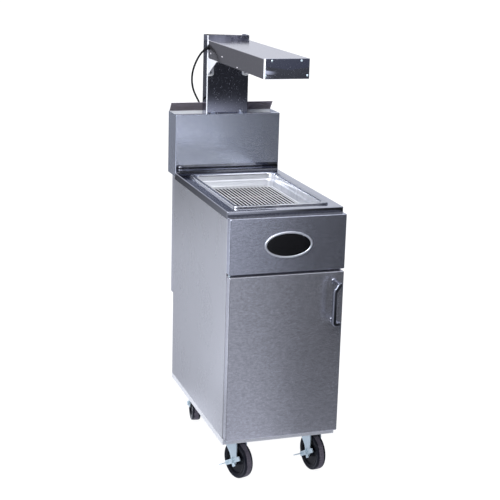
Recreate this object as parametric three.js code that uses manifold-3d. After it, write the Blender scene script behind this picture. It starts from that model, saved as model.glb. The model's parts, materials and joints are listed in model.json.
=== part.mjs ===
// Fry dump station: a stainless cabinet on casters with a pan and drain grate in its deck,
// a riser at the back and a strip heater held over the pan.
// Millimetres, +Z up. The front faces -Y and +X is to the right as seen from the front.
// While it is built, Y is 0 at the front face of the deck and Z is 0 on the floor.

import * as THREE from "three";
import { mergeVertices } from "three/addons/utils/BufferGeometryUtils.js";
import Module from "manifold-3d";

const wasm = await Module();
wasm.setup();

// Shared sizes
const width = 394; // cabinet, across
const sheet = 1.5; // stainless sheet
const gap = 0.3; // between pieces that touch on the real object
const overrun = 5; // how far a cut runs past the piece it cuts
const bend = 2.5; // outer radius of a sheet bend
const weldDistance = 1e-4; // vertices closer than this are one
const bendSteps = 3;
const cornerMargin = 1; // how much more a rounded slab's corners turn than its edges

// Casters
const wheelDiameter = 127;
const wheelWidth = 32;
const wheelSides = 32;
const hubWidth = 36;
const axleDiameter = 10;
const runningClearance = 0.4;
const trail = 33;
const wheelToCrown = 8.4; // tread to the underside of the fork's crown
const casterPlateWidth = 67;
const casterPlateLength = 92;
const casterPlateSheet = 4;
const domeHeight = 9; // ball race housing under a caster's plate
const forkSheet = 3.5;
const crownRadius = 34;
const casterInsetLeft = 72; // cabinet's left side to the kingpins
const casterInsetRight = 48;
const wheelRadius = wheelDiameter / 2;

// Base and carcass
const baseHeight = 19;
const baseRail = 51;
const baseSheet = 2;
const baseLead = 3.7; // base ahead of the carcass
const carcassLead = 2; // carcass ahead of the deck's front face
const carcassDepth = 647;
const carcassFlange = 28; // front return of a side panel
const crossWidth = 110; // cross channels that take the casters
const frontCrossInset = 100;
const rearCrossInset = 85; // from the carcass's rear
// The wheel, crown, race and plate stand on each other, and the base on the plate
const casterTop = wheelDiameter + wheelToCrown + 2 * forkSheet + gap + domeHeight + casterPlateSheet;
const baseClearance = casterTop + gap;
const baseTop = baseClearance + baseHeight;
const carcassFront = -carcassLead;
const carcassRear = carcassFront + carcassDepth;
const frontCrossY = frontCrossInset;
const rearCrossY = carcassRear - rearCrossInset;
const baseFront = carcassFront - baseLead;

// Deck
const deckHeight = 943;
const deckFlange = 24;
const carcassTop = deckHeight - deckFlange - gap;
const upstandRoot = 6; // inner bend at the foot of the rear upstand
const upstandTuck = 14; // upstand hidden behind the riser's front

// Door and front panel
const doorRise = 4; // base top to door bottom
const doorInset = 1.2; // door short of the cabinet's side
const doorDepth = 31;
const doorShadow = 2; // door back to carcass front
const doorToPanel = 8;
const panelHeight = 182.5;
const panelDrop = 17; // deck top to panel top
const panelDepth = 31;
const doorEdge = 3; // outer radius of the door's and panel's folded edges
const panelTop = deckHeight - panelDrop;
const panelBottom = panelTop - panelHeight;
const doorWidth = width - 2 * doorInset;
const doorBottom = baseTop + doorRise;
const doorTop = panelBottom - doorToPanel;
const doorBack = carcassFront - doorShadow;
const doorFront = doorBack - doorDepth;
const panelBack = carcassFront - gap;
const panelFront = panelBack - panelDepth;

// Riser, deflector and rear chase
const riserInset = 1; // riser short of the cabinet's side
const riserOverlap = 12; // riser's front ahead of the carcass's rear
const riserDepth = 106.6;
const riserHeight = 210; // deck top to riser top
const riserFrontLift = 28; // deck to the lower edge of the riser's front
const skirtDrop = 15; // riser's side skirts below the deck top
const deflectorLean = 27;
const deflectorRise = 33;
const deflectorFoot = 33;
const chaseDepth = 31.3;
const chaseHeight = 440;
const riserWidth = width - 2 * riserInset;
const riserFront = carcassRear - riserOverlap;
const riserRear = riserFront + riserDepth;
const riserTop = deckHeight + riserHeight;
const skirtBottom = deckHeight - skirtDrop;
const chaseBottom = skirtBottom - chaseHeight;
const chaseRear = carcassRear + gap + chaseDepth;

// Pan and grate
const panInset = 35; // cabinet's side to pan rim
const panFront = 40;
const panToRiser = 66;
const panRim = 13.5;
const panLip = 5.7; // rim top above the deck
const panDepth = 100;
const panWall = 1.2;
const panLean = 0.09; // run per rise of the walls
const panCorner = 28;
const panRimCorner = 10;
const panFloorCorner = 14;
const cutoutClearance = 4;
const grateDrop = 44; // rim top to grate top
const grateInsetX = 24; // from the rim's outer edge
const grateInsetY = 24.5;
const grateCorner = 16; // side wires stop short of the pan's round corners
const gratePitch = 13.2;
const barWire = 3.2;
const frameWire = 5;
const weldBite = 0.6; // how far a welded wire sinks into its neighbour
const wireSides = 6;
const panWidth = width - 2 * panInset;
const panLength = riserFront - panFront - panToRiser;
const panCentreY = panFront + panLength / 2;
const panTop = deckHeight + gap + panLip;
const grateTop = panTop - grateDrop;
const grateWidth = panWidth - 2 * grateInsetX;
const grateLength = panLength - 2 * grateInsetY;

// Lamp, post and brackets
const postWidth = 157;
const postSetback = 22.7; // riser's front to post's front
const postDepth = 50;
const postLip = 12;
const postRise = 279; // riser top to post top
const postTuck = 143; // post inside the riser
const lampInset = 2.5; // lamp short of the post's side
const lampLength = 614.7;
const lampHeight = 64;
const lampDrop = 16; // post top to lamp top
const lampLip = 14;
const plateSheet = 1.5;
const postFront = riserFront + postSetback;
const postTop = riserTop + postRise;
const postBottom = riserTop - postTuck;
const lampWidth = postWidth - 2 * lampInset;
const lampTop = postTop - lampDrop;
const lampBottom = lampTop - lampHeight;
const lampRear = postFront - gap;
const lampFront = lampRear - lampLength;
const earWidth = 24;
const earDrop = 64; // lamp underside to the lower end of an ear
const earHole = 7;
const bracketSheet = 2;
const gussetReach = 110;
const elementDiameter = 9;
const elementHeight = 24; // lamp underside to the element's axis
const reflectorInset = 18; // lamp end to reflector end

// Cord and plug
const cordDiameter = 7;
const cordSides = 8;
const cordSteps = 76;

const steel = (color, roughness) => new THREE.MeshStandardMaterial({ color, roughness, metalness: 1 });
const plain = (color, roughness) => new THREE.MeshStandardMaterial({ color, roughness, metalness: 0 });
const materials = {
  brushed: steel(0x9a9ca4, 0.34),
  polished: steel(0xb9bcc4, 0.16),
  pan: steel(0xd8dade, 0.2),
  chrome: steel(0xe4e6ea, 0.06),
  zinc: steel(0xb4c6cc, 0.35),
  badge: plain(0x16161a, 0.3),
  rubber: plain(0x141416, 0.6),
  wheel: plain(0x1b1b20, 0.55),
  cord: plain(0x0d0d0f, 0.5),
  ceramic: plain(0xe9e4d8, 0.5),
  element: steel(0x6b6258, 0.5),
  brass: steel(0xc8a860, 0.3),
  magnet: plain(0x2a2a2c, 0.6),
};

// Solids

// A closed geometry as a manifold-3d solid, without the empty triangles at a lathe's axis.
function solid(geometry) {
  const bare = new THREE.BufferGeometry();
  bare.setAttribute("position", geometry.getAttribute("position"));
  bare.setIndex(geometry.index);
  const merged = mergeVertices(bare, weldDistance);
  const corners = Array.from(merged.index.array);
  const kept = [];
  for (let i = 0; i < corners.length; i += 3) {
    const [a, b, c] = corners.slice(i, i + 3);
    if (a !== b && b !== c && c !== a) kept.push(a, b, c);
  }
  const mesh = new wasm.Mesh({
    numProp: 3,
    vertProperties: merged.attributes.position.array,
    triVerts: new Uint32Array(kept),
  });
  return new wasm.Manifold(mesh);
}

function geometryOf(manifold) {
  const mesh = manifold.getMesh();
  const positions = new Float32Array(mesh.numVert * 3);
  for (let i = 0; i < mesh.numVert; i += 1) {
    positions.set(mesh.vertProperties.subarray(i * mesh.numProp, i * mesh.numProp + 3), i * 3);
  }
  const indexed = new THREE.BufferGeometry();
  indexed.setAttribute("position", new THREE.BufferAttribute(positions, 3));
  indexed.setIndex(new THREE.BufferAttribute(mesh.triVerts, 1));
  const flat = indexed.toNonIndexed();
  flat.computeVertexNormals();
  return flat;
}

const join = (...solids) => solids.reduce((a, b) => a.add(b));
const cut = (body, ...tools) => tools.reduce((a, b) => a.subtract(b), body);

function block(x0, x1, y0, y1, z0, z1) {
  const box = new THREE.BoxGeometry(x1 - x0, y1 - y0, z1 - z0);
  return solid(box.translate((x0 + x1) / 2, (y0 + y1) / 2, (z0 + z1) / 2));
}

// A closed outline through corners [x, y, radius]; a corner without a radius stays sharp.
function outline(corners) {
  const shape = new THREE.Shape();
  corners.forEach(([x, y, radius = 0], i) => {
    const corner = new THREE.Vector2(x, y);
    const before = new THREE.Vector2(...corners.at(i - 1));
    const after = new THREE.Vector2(...corners[(i + 1) % corners.length]);
    const start = before.sub(corner).setLength(radius).add(corner);
    const end = after.sub(corner).setLength(radius).add(corner);
    if (i === 0) shape.moveTo(start.x, start.y);
    else shape.lineTo(start.x, start.y);
    if (radius > 0) shape.quadraticCurveTo(x, y, end.x, end.y);
  });
  shape.closePath();
  return shape;
}

function rectangle(x0, x1, y0, y1, radius = 0) {
  return outline([[x0, y0, radius], [x1, y0, radius], [x1, y1, radius], [x0, y1, radius]]);
}

function extrude(shape, depth, curveSegments) {
  return new THREE.ExtrudeGeometry(shape, { depth, bevelEnabled: false, curveSegments });
}

// Prisms: along Z the outline is (x, y), along X it is (y, z), along Y it is (x, z).
function prismZ(shape, z0, z1, steps = bendSteps) {
  return solid(extrude(shape, z1 - z0, steps).translate(0, 0, z0));
}

const unit = [new THREE.Vector3(1, 0, 0), new THREE.Vector3(0, 1, 0), new THREE.Vector3(0, 0, 1)];
const ontoX = new THREE.Matrix4().makeBasis(unit[1], unit[2], unit[0]);
const ontoY = new THREE.Matrix4().makeBasis(unit[0], unit[2], unit[1].clone().negate());

function prismX(shape, x0, x1, steps = bendSteps) {
  return solid(extrude(shape, x1 - x0, steps).applyMatrix4(ontoX).translate(x0, 0, 0));
}

function prismY(shape, y0, y1, steps = bendSteps) {
  return solid(extrude(shape, y1 - y0, steps).applyMatrix4(ontoY).translate(0, y1, 0));
}

// An outline extruded along +Z from zero with all its edges rounded.
function pillow(shape, depth, radius, curveSegments = bendSteps) {
  const geometry = new THREE.ExtrudeGeometry(shape, {
    depth: depth - 2 * radius,
    bevelThickness: radius,
    bevelSize: radius,
    bevelOffset: -radius,
    bevelSegments: bendSteps,
    curveSegments,
  });
  return geometry.translate(0, 0, radius);
}

const alongAxis = {
  x: (geometry) => geometry.rotateZ(-Math.PI / 2),
  y: (geometry) => geometry,
  z: (geometry) => geometry.rotateX(Math.PI / 2),
};

function rod(axis, radius, from, to, [a, b], sides = 12) {
  const places = { x: [(from + to) / 2, a, b], y: [a, (from + to) / 2, b], z: [a, b, (from + to) / 2] };
  const cylinder = new THREE.CylinderGeometry(radius, radius, to - from, sides);
  return solid(alongAxis[axis](cylinder).translate(...places[axis]));
}

// A body of revolution round the axis through the origin, from [radius, place along the axis] pairs.
function revolve(axis, profile, sides) {
  const points = profile.map(([radius, along]) => new THREE.Vector2(radius, along));
  return solid(alongAxis[axis](new THREE.LatheGeometry(points, sides)));
}

function tube(curve, radius, sides, steps) {
  const ring = Array.from({ length: sides }, (_, i) => {
    const turn = (2 * Math.PI * i) / sides;
    return new THREE.Vector2(radius * Math.cos(turn), radius * Math.sin(turn));
  });
  return solid(new THREE.ExtrudeGeometry(new THREE.Shape(ring), { steps, extrudePath: curve }));
}

const polyline = (points) => new THREE.CatmullRomCurve3(points.map((p) => new THREE.Vector3(...p)));

// The group that is exported, and one mesh per sub-part
const station = new THREE.Group();

function add(name, manifold, material, parent = station) {
  const mesh = new THREE.Mesh(geometryOf(manifold), material);
  mesh.name = name;
  parent.add(mesh);
  return mesh;
}

// Base frame: rails round the edge and two cross channels, all open upwards
function baseFrame() {
  const half = width / 2;
  const inner = half - baseRail;
  const rearRailFront = carcassRear - baseRail;
  const frontRailRear = baseFront + baseRail;
  const ring = cut(
    block(-half, half, baseFront, carcassRear, baseClearance, baseTop),
    block(-inner, inner, frontRailRear, rearRailFront, baseClearance - overrun, baseTop + overrun),
  );
  const crosses = [frontCrossY, rearCrossY].map((y) =>
    block(-inner, inner, y - crossWidth / 2, y + crossWidth / 2, baseClearance, baseTop),
  );
  const grooveBottom = baseClearance + baseSheet;
  const groove = cut(
    block(-half + baseSheet, half - baseSheet, baseFront + baseSheet, carcassRear - baseSheet,
      grooveBottom, baseTop + overrun),
    block(-inner - baseSheet, inner + baseSheet, frontRailRear - baseSheet, rearRailFront + baseSheet,
      baseClearance, baseTop + 2 * overrun),
  );
  const crossGrooves = [frontCrossY, rearCrossY].map((y) =>
    block(-inner - 2 * baseSheet, inner + 2 * baseSheet, y - crossWidth / 2 + baseSheet,
      y + crossWidth / 2 - baseSheet, grooveBottom, baseTop + overrun),
  );
  add("base_frame", cut(join(ring, ...crosses), groove, ...crossGrooves), materials.brushed);
}

// Carcass: floor, side panels, back and front rail
const panelSeat = baseTop + gap;

function carcass() {
  const inside = width / 2 - sheet - gap;
  const floorFront = carcassFront + sheet + gap;
  const floorRear = carcassRear - sheet - gap;
  add("floor_panel", block(-inside, inside, floorFront, floorRear, panelSeat, panelSeat + sheet),
    materials.brushed);

  const half = width / 2;
  [["side_panel_left", -1], ["side_panel_right", 1]].forEach(([name, side]) => {
    const outer = outline([
      [side * half, carcassFront, bend],
      [side * (half - carcassFlange), carcassFront],
      [side * (half - carcassFlange), carcassRear],
      [side * half, carcassRear, bend],
    ]);
    const hollow = rectangle(side * (half - sheet), side * (half - carcassFlange - overrun),
      carcassFront + sheet, carcassRear - sheet);
    const panel = cut(
      prismZ(outer, panelSeat, carcassTop),
      prismZ(hollow, panelSeat - overrun, carcassTop - sheet),
    );
    add(name, panel, materials.brushed);
  });

  const backRear = floorRear;
  const backBottom = panelSeat + sheet + gap;
  add("back_panel", block(-inside, inside, backRear - sheet, backRear, backBottom, carcassTop - sheet - gap),
    materials.brushed);

  const railHeight = 30;
  const railDepth = 26;
  const railBottom = doorTop - railHeight / 3;
  const rail = cut(
    block(-inside, inside, floorFront, floorFront + railDepth, railBottom, railBottom + railHeight),
    block(-inside - overrun, inside + overrun, floorFront + sheet, floorFront + railDepth + overrun,
      railBottom + sheet, railBottom + railHeight - sheet),
  );
  add("front_rail", rail, materials.brushed);
}

// A shallow tray of folded sheet that is open towards +Y, with rounded folds at the front
function tray(halfWidth, z0, z1, front, back) {
  const face = rectangle(-halfWidth, halfWidth, z0, z1, doorEdge + cornerMargin);
  const blank = pillow(face, back - front + overrun + doorEdge, doorEdge);
  // The pillow's bottom, at z = 0, becomes the front face
  const body = solid(blank.applyMatrix4(ontoY).translate(0, back + overrun + doorEdge, 0));
  return cut(
    body,
    block(-halfWidth - overrun, halfWidth + overrun, back, back + 2 * overrun + doorEdge,
      z0 - overrun, z1 + overrun),
    block(-halfWidth + sheet, halfWidth - sheet, front + sheet, back + overrun, z0 + sheet, z1 - sheet),
  );
}

// Hinge line of the door: pins stand on it at the top and bottom left corners
const hingeInset = 7.6; // from the cabinet's left side
const hingeSetback = 12; // from the door's back
const pinDiameter = 8;
const hingeX = -width / 2 + hingeInset;
const hingeY = doorBack - hingeSetback;
const pinHole = pinDiameter / 2 + runningClearance;

function door() {
  const half = doorWidth / 2;
  const hole = rod("z", pinHole, doorBottom - overrun, doorTop + overrun, [hingeX, hingeY]);
  const skin = cut(tray(half, doorBottom, doorTop, doorFront, doorBack), hole);
  add("door_skin", skin, materials.brushed);

  const linerHalf = half - sheet - gap;
  const linerBottom = doorBottom + sheet + gap;
  const linerTop = doorTop - sheet - gap;
  add("door_liner", block(-linerHalf, linerHalf, doorBack - sheet, doorBack, linerBottom, linerTop),
    materials.brushed);

  // The handle's arms leave the door and step to the left to the grip: the upper one down a slope,
  // the lower one straight across. Its section is square.
  const handleInset = 33.8; // arms to the door's right edge
  const handleDrop = 97.5; // door top to the handle's middle
  const handleSpan = 132;
  const handleJog = 15.5; // grip to the left of the arms
  const elbowDrop = 21; // arm to the top of the grip's straight part
  const handleStand = 48; // grip's axis to the door's face
  const handleCentreZ = doorTop - handleDrop;
  const barHalf = 6.5;
  const armCorner = 3;
  const elbowCorner = 8;
  const armX = half - handleInset;
  const gripX = armX - handleJog;
  const gripY = doorFront - handleStand;
  const footY = doorFront - gap;
  const armZ = handleSpan / 2;
  const slope = elbowDrop / handleJog;
  const across = new THREE.Vector2(-elbowDrop, handleJog).setLength(barHalf);
  // Height of the sloping part's edge at x: side 1 is its left edge, -1 its right edge
  const edgeZ = (x, side) => armZ + side * across.y + (x - armX - side * across.x) * slope;
  const bar = outline([
    [gripX + barHalf, edgeZ(gripX + barHalf, -1), elbowCorner],
    [armX + barHalf, edgeZ(armX + barHalf, -1)],
    [armX + barHalf, armZ + barHalf, armCorner],
    [armX - barHalf, armZ + barHalf, armCorner],
    [armX - barHalf, edgeZ(armX - barHalf, 1)],
    [gripX - barHalf, edgeZ(gripX - barHalf, 1), elbowCorner],
    [gripX - barHalf, -armZ - barHalf, armCorner],
    [armX + barHalf, -armZ - barHalf, armCorner],
    [armX + barHalf, -armZ + barHalf, armCorner],
    [gripX + barHalf, -armZ + barHalf],
  ].map(([x, z, radius]) => [x, handleCentreZ + z, radius]));
  const grip = prismY(bar, gripY - barHalf, gripY + barHalf);
  const footRadius = 9.5;
  const footThickness = 2.5;
  const footSides = 24;
  const arms = [-1, 1].flatMap((side) => {
    const z = handleCentreZ + side * armZ;
    const section = rectangle(armX - barHalf, armX + barHalf, z - barHalf, z + barHalf, armCorner);
    return [
      prismY(section, gripY, footY),
      rod("y", footRadius, footY - footThickness, footY, [armX, z], footSides),
    ];
  });
  add("door_handle", join(grip, ...arms), materials.chrome);

  const strikeLeft = catchLeft + gap;
  const strikeSheet = doorShadow - 2 * gap - catchProud;
  add("strike_plate",
    block(strikeLeft, strikeLeft + catchWidth - 2 * gap, doorBack + gap, doorBack + gap + strikeSheet,
      catchBottom + gap, catchBottom + catchHeight - gap),
    materials.zinc);
}

// Magnetic catch beside the right side panel's front return
const catchWidth = 20;
const catchHeight = 60;
const catchDepth = 18;
const catchDrop = 95.5; // door top to the catch's lower end
const catchProud = 0.2;
const catchBottom = doorTop - catchDrop;
const catchLeft = width / 2 - carcassFlange - gap - catchWidth;

function hinges() {
  const pinReach = 11;
  const pinHeadRadius = 7;
  const pinHead = 4;
  const returnTop = panelBottom + sheet;
  const upperPin = join(
    rod("z", pinDiameter / 2, doorTop - pinReach, returnTop + gap + pinHead, [hingeX, hingeY]),
    rod("z", pinHeadRadius - runningClearance, returnTop + gap, returnTop + gap + pinHead,
      [hingeX + runningClearance, hingeY], 6),
  );
  add("hinge_pin_upper", upperPin, materials.zinc);

  const bracketWidth = 36;
  const bracketSheetThickness = 2.5;
  const bracketDrop = 17;
  const bracketInset = 1;
  const bracketLeft = -width / 2 + bracketInset;
  const shelfTop = panelSeat + bracketSheetThickness;
  const shelfFront = hingeY - pinHeadRadius;
  const shelf = block(bracketLeft, bracketLeft + bracketWidth, shelfFront, panelBack, panelSeat, shelfTop);
  const apron = block(bracketLeft, bracketLeft + bracketWidth, baseFront - gap - bracketSheetThickness,
    baseFront - gap, panelSeat - bracketDrop, shelfTop);
  const pinSocket = rod("z", pinDiameter / 2 + gap, panelSeat - overrun, shelfTop + overrun,
    [hingeX, hingeY]);
  add("hinge_bracket_lower", cut(join(shelf, apron), pinSocket), materials.brushed);

  const lowerPin = join(
    rod("z", pinDiameter / 2, panelSeat - gap - pinHead, doorBottom + pinReach, [hingeX, hingeY]),
    rod("z", pinHeadRadius - runningClearance, panelSeat - gap - pinHead, panelSeat - gap,
      [hingeX + runningClearance, hingeY], 6),
  );
  add("hinge_pin_lower", lowerPin, materials.zinc);

  const catchFront = carcassFront - catchProud;
  add("magnet_catch",
    block(catchLeft, catchLeft + catchWidth, catchFront, catchFront + catchDepth, catchBottom,
      catchBottom + catchHeight),
    materials.magnet);
}

function ellipseShape(radiusX, radiusZ, centreZ) {
  const shape = new THREE.Shape();
  shape.absellipse(0, centreZ, radiusX, radiusZ, 0, 2 * Math.PI);
  return shape;
}

function frontPanel() {
  const pinPassage = rod("z", pinDiameter / 2 + gap, panelBottom - overrun, panelBottom + overrun,
    [hingeX, hingeY]);
  add("front_panel", cut(tray(width / 2, panelBottom, panelTop, panelFront, panelBack), pinPassage),
    materials.brushed);

  const badgeWidth = 162;
  const badgeHeight = 87;
  const ringWidth = 6.5;
  const ringThickness = 4;
  const plateThickness = 2;
  const ringRound = 1.5;
  const ellipseSteps = 28;
  const centreZ = (panelBottom + panelTop) / 2;
  const seat = panelFront - gap;
  const ringOuter = ellipseShape(badgeWidth / 2, badgeHeight / 2, centreZ);
  const holeX = badgeWidth / 2 - ringWidth;
  const holeZ = badgeHeight / 2 - ringWidth;
  const rounded = pillow(ringOuter, 2 * ringThickness, ringRound, ellipseSteps);
  const ring = cut(
    solid(rounded.applyMatrix4(ontoY).translate(0, seat + ringThickness, 0)),
    block(-badgeWidth, badgeWidth, seat, seat + 2 * ringThickness, centreZ - badgeHeight,
      centreZ + badgeHeight),
    prismY(ellipseShape(holeX, holeZ, centreZ), seat - 2 * ringThickness, seat + ringThickness,
      ellipseSteps),
  );
  add("badge_ring", ring, materials.chrome);
  add("badge_plate",
    prismY(ellipseShape(holeX - gap, holeZ - gap, centreZ), seat - plateThickness, seat, ellipseSteps),
    materials.badge);
}

// Deck: one folded sheet with the pan's cut-out and a rear upstand behind the riser's front
const upstandFront = riserFront + sheet + gap;

function deck() {
  const half = width / 2;
  const rear = upstandFront + sheet;
  const riserInside = riserWidth / 2 - sheet - gap;
  const bottom = deckHeight - deckFlange;
  const plan = rectangle(-half, half, 0, rear, bend + cornerMargin);
  const slab = solid(pillow(plan, deckFlange + overrun, bend).translate(0, 0, bottom - overrun));
  const upstandTop = deckHeight + riserFrontLift + upstandTuck;
  const upstand = prismX(
    outline([
      [upstandFront - 2 * upstandRoot, deckHeight - sheet],
      [upstandFront - 2 * upstandRoot, deckHeight],
      [upstandFront, deckHeight, upstandRoot],
      [upstandFront, upstandTop],
      [rear, upstandTop],
      [rear, deckHeight - sheet],
    ]),
    -riserInside, riserInside);
  const holeX = panWidth / 2 - panRim + cutoutClearance;
  const holeY = panLength / 2 - panRim + cutoutClearance;
  const cutout = rectangle(-holeX, holeX, panCentreY - holeY, panCentreY + holeY, panCorner);
  const sideNotches = [-1, 1].map((side) =>
    prismZ(rectangle(side * riserInside, side * (half + overrun), riserFront - gap, rear + overrun),
      bottom - 2 * overrun, deckHeight + overrun));
  const body = cut(
    join(slab, upstand),
    block(-half + sheet, half - sheet, sheet, rear + overrun, bottom - 2 * overrun, deckHeight - sheet),
    block(-half - overrun, half + overrun, -overrun, rear + overrun, bottom - 2 * overrun, bottom),
    prismZ(cutout, bottom, deckHeight + overrun, 2 * bendSteps),
    ...sideNotches,
  );
  add("deck_top", body, materials.polished);
}

// Riser: shroud, back panel, deflector and the chase below it
function riser() {
  const half = riserWidth / 2;
  const inner = half - sheet;
  const frontBottom = deckHeight + riserFrontLift;
  const plan = outline([
    [-half, riserFront, bend], [half, riserFront, bend], [half, riserRear], [-half, riserRear],
  ]);
  const frontReturn = postFront - gap - riserFront - sheet;
  const tabHeight = 10;
  const tabHalf = 7;
  const tabInset = 26.5; // from the post's side
  const tabX = postWidth / 2 - tabInset;
  const tabSheet = 1.2;
  const screwRadius = 3.5;
  const screwHead = 2;
  const hollow = block(-inner, inner, riserFront + sheet, riserRear + overrun, skirtBottom - overrun,
    riserTop + overrun);
  const underFront = block(-inner, inner, riserFront - overrun, riserRear, skirtBottom - overrun,
    frontBottom);
  const returnFlange = block(-inner, inner, riserFront + sheet / 2, riserFront + sheet + frontReturn,
    riserTop - sheet, riserTop);
  const returnRear = riserFront + sheet + frontReturn;
  const tabs = [-tabX, tabX].flatMap((x) => [
    block(x - tabHalf, x + tabHalf, returnRear - tabSheet, returnRear, riserTop - sheet,
      riserTop + tabHeight),
    rod("y", screwRadius, returnRear - tabSheet - screwHead, returnRear - tabSheet / 2,
      [x, riserTop + tabHeight / 2]),
  ]);
  const shroud = join(
    cut(prismZ(plan, skirtBottom, riserTop), hollow, underFront),
    returnFlange,
    ...tabs,
  );
  add("riser_shroud", shroud, materials.brushed);

  const panelHalf = inner - gap;
  const shelfFront = chaseRear + gap;
  const back = prismX(
    outline([
      [shelfFront, skirtBottom],
      [riserRear, skirtBottom, bend],
      [riserRear, riserTop],
      [riserRear - sheet, riserTop],
      [riserRear - sheet, skirtBottom + sheet],
      [shelfFront, skirtBottom + sheet],
    ]),
    -panelHalf, panelHalf);
  add("riser_back_panel", back, materials.brushed);

  const footFace = riserRear - sheet - gap;
  const bladeLength = Math.hypot(deflectorLean, deflectorRise);
  const across = (sheet * deflectorRise) / bladeLength;
  const down = (sheet * deflectorLean) / bladeLength;
  const deflector = prismX(
    outline([
      [footFace, riserTop - deflectorFoot],
      [footFace, riserTop],
      [footFace - deflectorLean, riserTop + deflectorRise],
      [footFace - deflectorLean - across, riserTop + deflectorRise - down],
      [footFace - sheet, riserTop - down / 2],
      [footFace - sheet, riserTop - deflectorFoot],
    ]),
    -panelHalf, panelHalf);
  add("flue_deflector", deflector, materials.polished);

  const chaseFront = carcassRear + gap;
  const chase = cut(
    block(-half, half, chaseFront, chaseRear, chaseBottom, skirtBottom - gap),
    block(-inner, inner, chaseFront - overrun, chaseRear - sheet, chaseBottom + sheet, skirtBottom + overrun),
  );
  add("rear_chase", chase, materials.brushed);
}

// Pan: walls lean in towards the floor, and the rim ends in a lip that stands on the deck
function leanIn(geometry, top) {
  const place = geometry.getAttribute("position");
  for (let i = 0; i < place.count; i += 1) {
    const inward = Math.max(0, top - place.getZ(i)) * panLean;
    place.setX(i, place.getX(i) - Math.sign(place.getX(i)) * inward);
    place.setY(i, place.getY(i) - Math.sign(place.getY(i)) * inward);
  }
  return geometry;
}

function tub(halfX, halfY, corner, floor, top, floorCorner) {
  const plan = rectangle(-halfX, halfX, -halfY, halfY, corner);
  const blank = pillow(plan, top - floor + floorCorner, floorCorner, 2 * bendSteps).translate(0, 0, floor);
  return solid(leanIn(blank, top));
}

function pan() {
  const rimX = panWidth / 2;
  const rimY = panLength / 2;
  const mouthX = rimX - panRim;
  const mouthY = rimY - panRim;
  const floor = panTop - panDepth;
  const outer = tub(mouthX, mouthY, panCorner, floor, panTop, panFloorCorner);
  const inner = tub(mouthX - panWall, mouthY - panWall, panCorner - panWall, floor + panWall, panTop,
    panFloorCorner - panWall);
  const above = block(-rimX, rimX, -rimY, rimY, panTop, panTop + 2 * panFloorCorner);
  const flange = prismZ(rectangle(-rimX, rimX, -rimY, rimY, panRimCorner), panTop - panLip, panTop);
  const underRim = cut(
    prismZ(
      rectangle(-rimX + panWall, rimX - panWall, -rimY + panWall, rimY - panWall, panRimCorner - panWall),
      panTop - panLip - overrun, panTop - panWall),
    tub(mouthX, mouthY, panCorner, floor, panTop, panFloorCorner),
  );
  const body = cut(join(flange, outer), underRim, inner, above);
  add("food_pan", body, materials.pan).position.y = panCentreY;
}

// Grate: bars from front to back on cross wires, in a frame that stands on bent legs
function grate() {
  const halfX = grateWidth / 2;
  const halfY = grateLength / 2;
  const barZ = grateTop - barWire / 2;
  const crossZ = grateTop - barWire - frameWire / 2 + weldBite;
  const bars = [];
  const barCount = Math.floor(grateWidth / gratePitch);
  for (let i = 0; i < barCount; i += 1) {
    const x = (i - (barCount - 1) / 2) * gratePitch;
    bars.push(rod("y", barWire / 2, -halfY, halfY, [x, barZ], wireSides));
  }
  const frameRadius = frameWire / 2;
  const sides = [-1, 1].map((side) =>
    rod("y", frameRadius, -halfY + grateCorner, halfY - grateCorner,
      [side * (halfX - frameRadius), barZ - weldBite], wireSides));
  const crossY = halfY - grateCorner - frameWire;
  const crossShares = [-1, -0.34, 0.34, 1];
  const crosses = crossShares.map((share) =>
    rod("x", frameRadius, -halfX + frameRadius, halfX - frameRadius, [share * crossY, crossZ],
      wireSides));
  const legInset = 28;
  const legBottom = panTop - panDepth + panWall + gap;
  const legs = [-1, 1].flatMap((side) =>
    [-1, 1].map((end) =>
      rod("z", frameRadius, legBottom, crossZ,
        [side * (halfX - legInset), end * crossY], wireSides)));
  add("drain_grate", join(...bars, ...sides, ...crosses, ...legs), materials.chrome).position.y = panCentreY;
}

// Post, brackets and lamp
function post() {
  const half = postWidth / 2;
  const rear = postFront + postDepth;
  const section = outline([
    [-half, postFront, bend], [half, postFront, bend], [half, rear], [-half, rear],
  ]);
  const channel = cut(
    prismZ(section, postBottom, postTop),
    block(-half + sheet, half - sheet, postFront + sheet, rear - sheet, postBottom - overrun,
      postTop + overrun),
    block(-half + postLip, half - postLip, rear - 2 * sheet, rear + overrun, postBottom - overrun,
      postTop + overrun),
  );
  add("lamp_post", channel, materials.polished);

  const earBack = postFront - gap;
  const earFront = earBack - bracketSheet;
  const earOuter = half - sheet;
  const seat = lampBottom - gap;
  const earBottom = lampBottom - earDrop;
  const holeInset = 12;
  const innerRoundShare = 0.45;
  const outerRoundShare = 0.2;
  [["lamp_bracket_left", -1], ["lamp_bracket_right", 1]].forEach(([name, side]) => {
    const ear = prismY(
      outline([
        [side * earOuter, seat],
        [side * (earOuter - earWidth), seat],
        [side * (earOuter - earWidth), earBottom, earWidth * innerRoundShare],
        [side * earOuter, earBottom, earWidth * outerRoundShare],
      ]),
      earFront, earBack);
    const hole = rod("y", earHole / 2, earFront - overrun, earBack + overrun,
      [side * (earOuter - holeInset), earBottom + holeInset]);
    const gussetSides = [side * (earOuter - bracketSheet), side * earOuter].sort((a, b) => a - b);
    const gusset = prismX(
      outline([[earBack, seat], [earBack - gussetReach, seat], [earBack, earBottom + bracketSheet]]),
      ...gussetSides);
    const flangeSides = [side * (earOuter - earWidth / 2), side * earOuter].sort((a, b) => a - b);
    const flange = block(...flangeSides, earBack - gussetReach, earBack, seat - bracketSheet, seat);
    add(name, cut(join(ear, gusset, flange), hole), materials.polished);
  });
}

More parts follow.
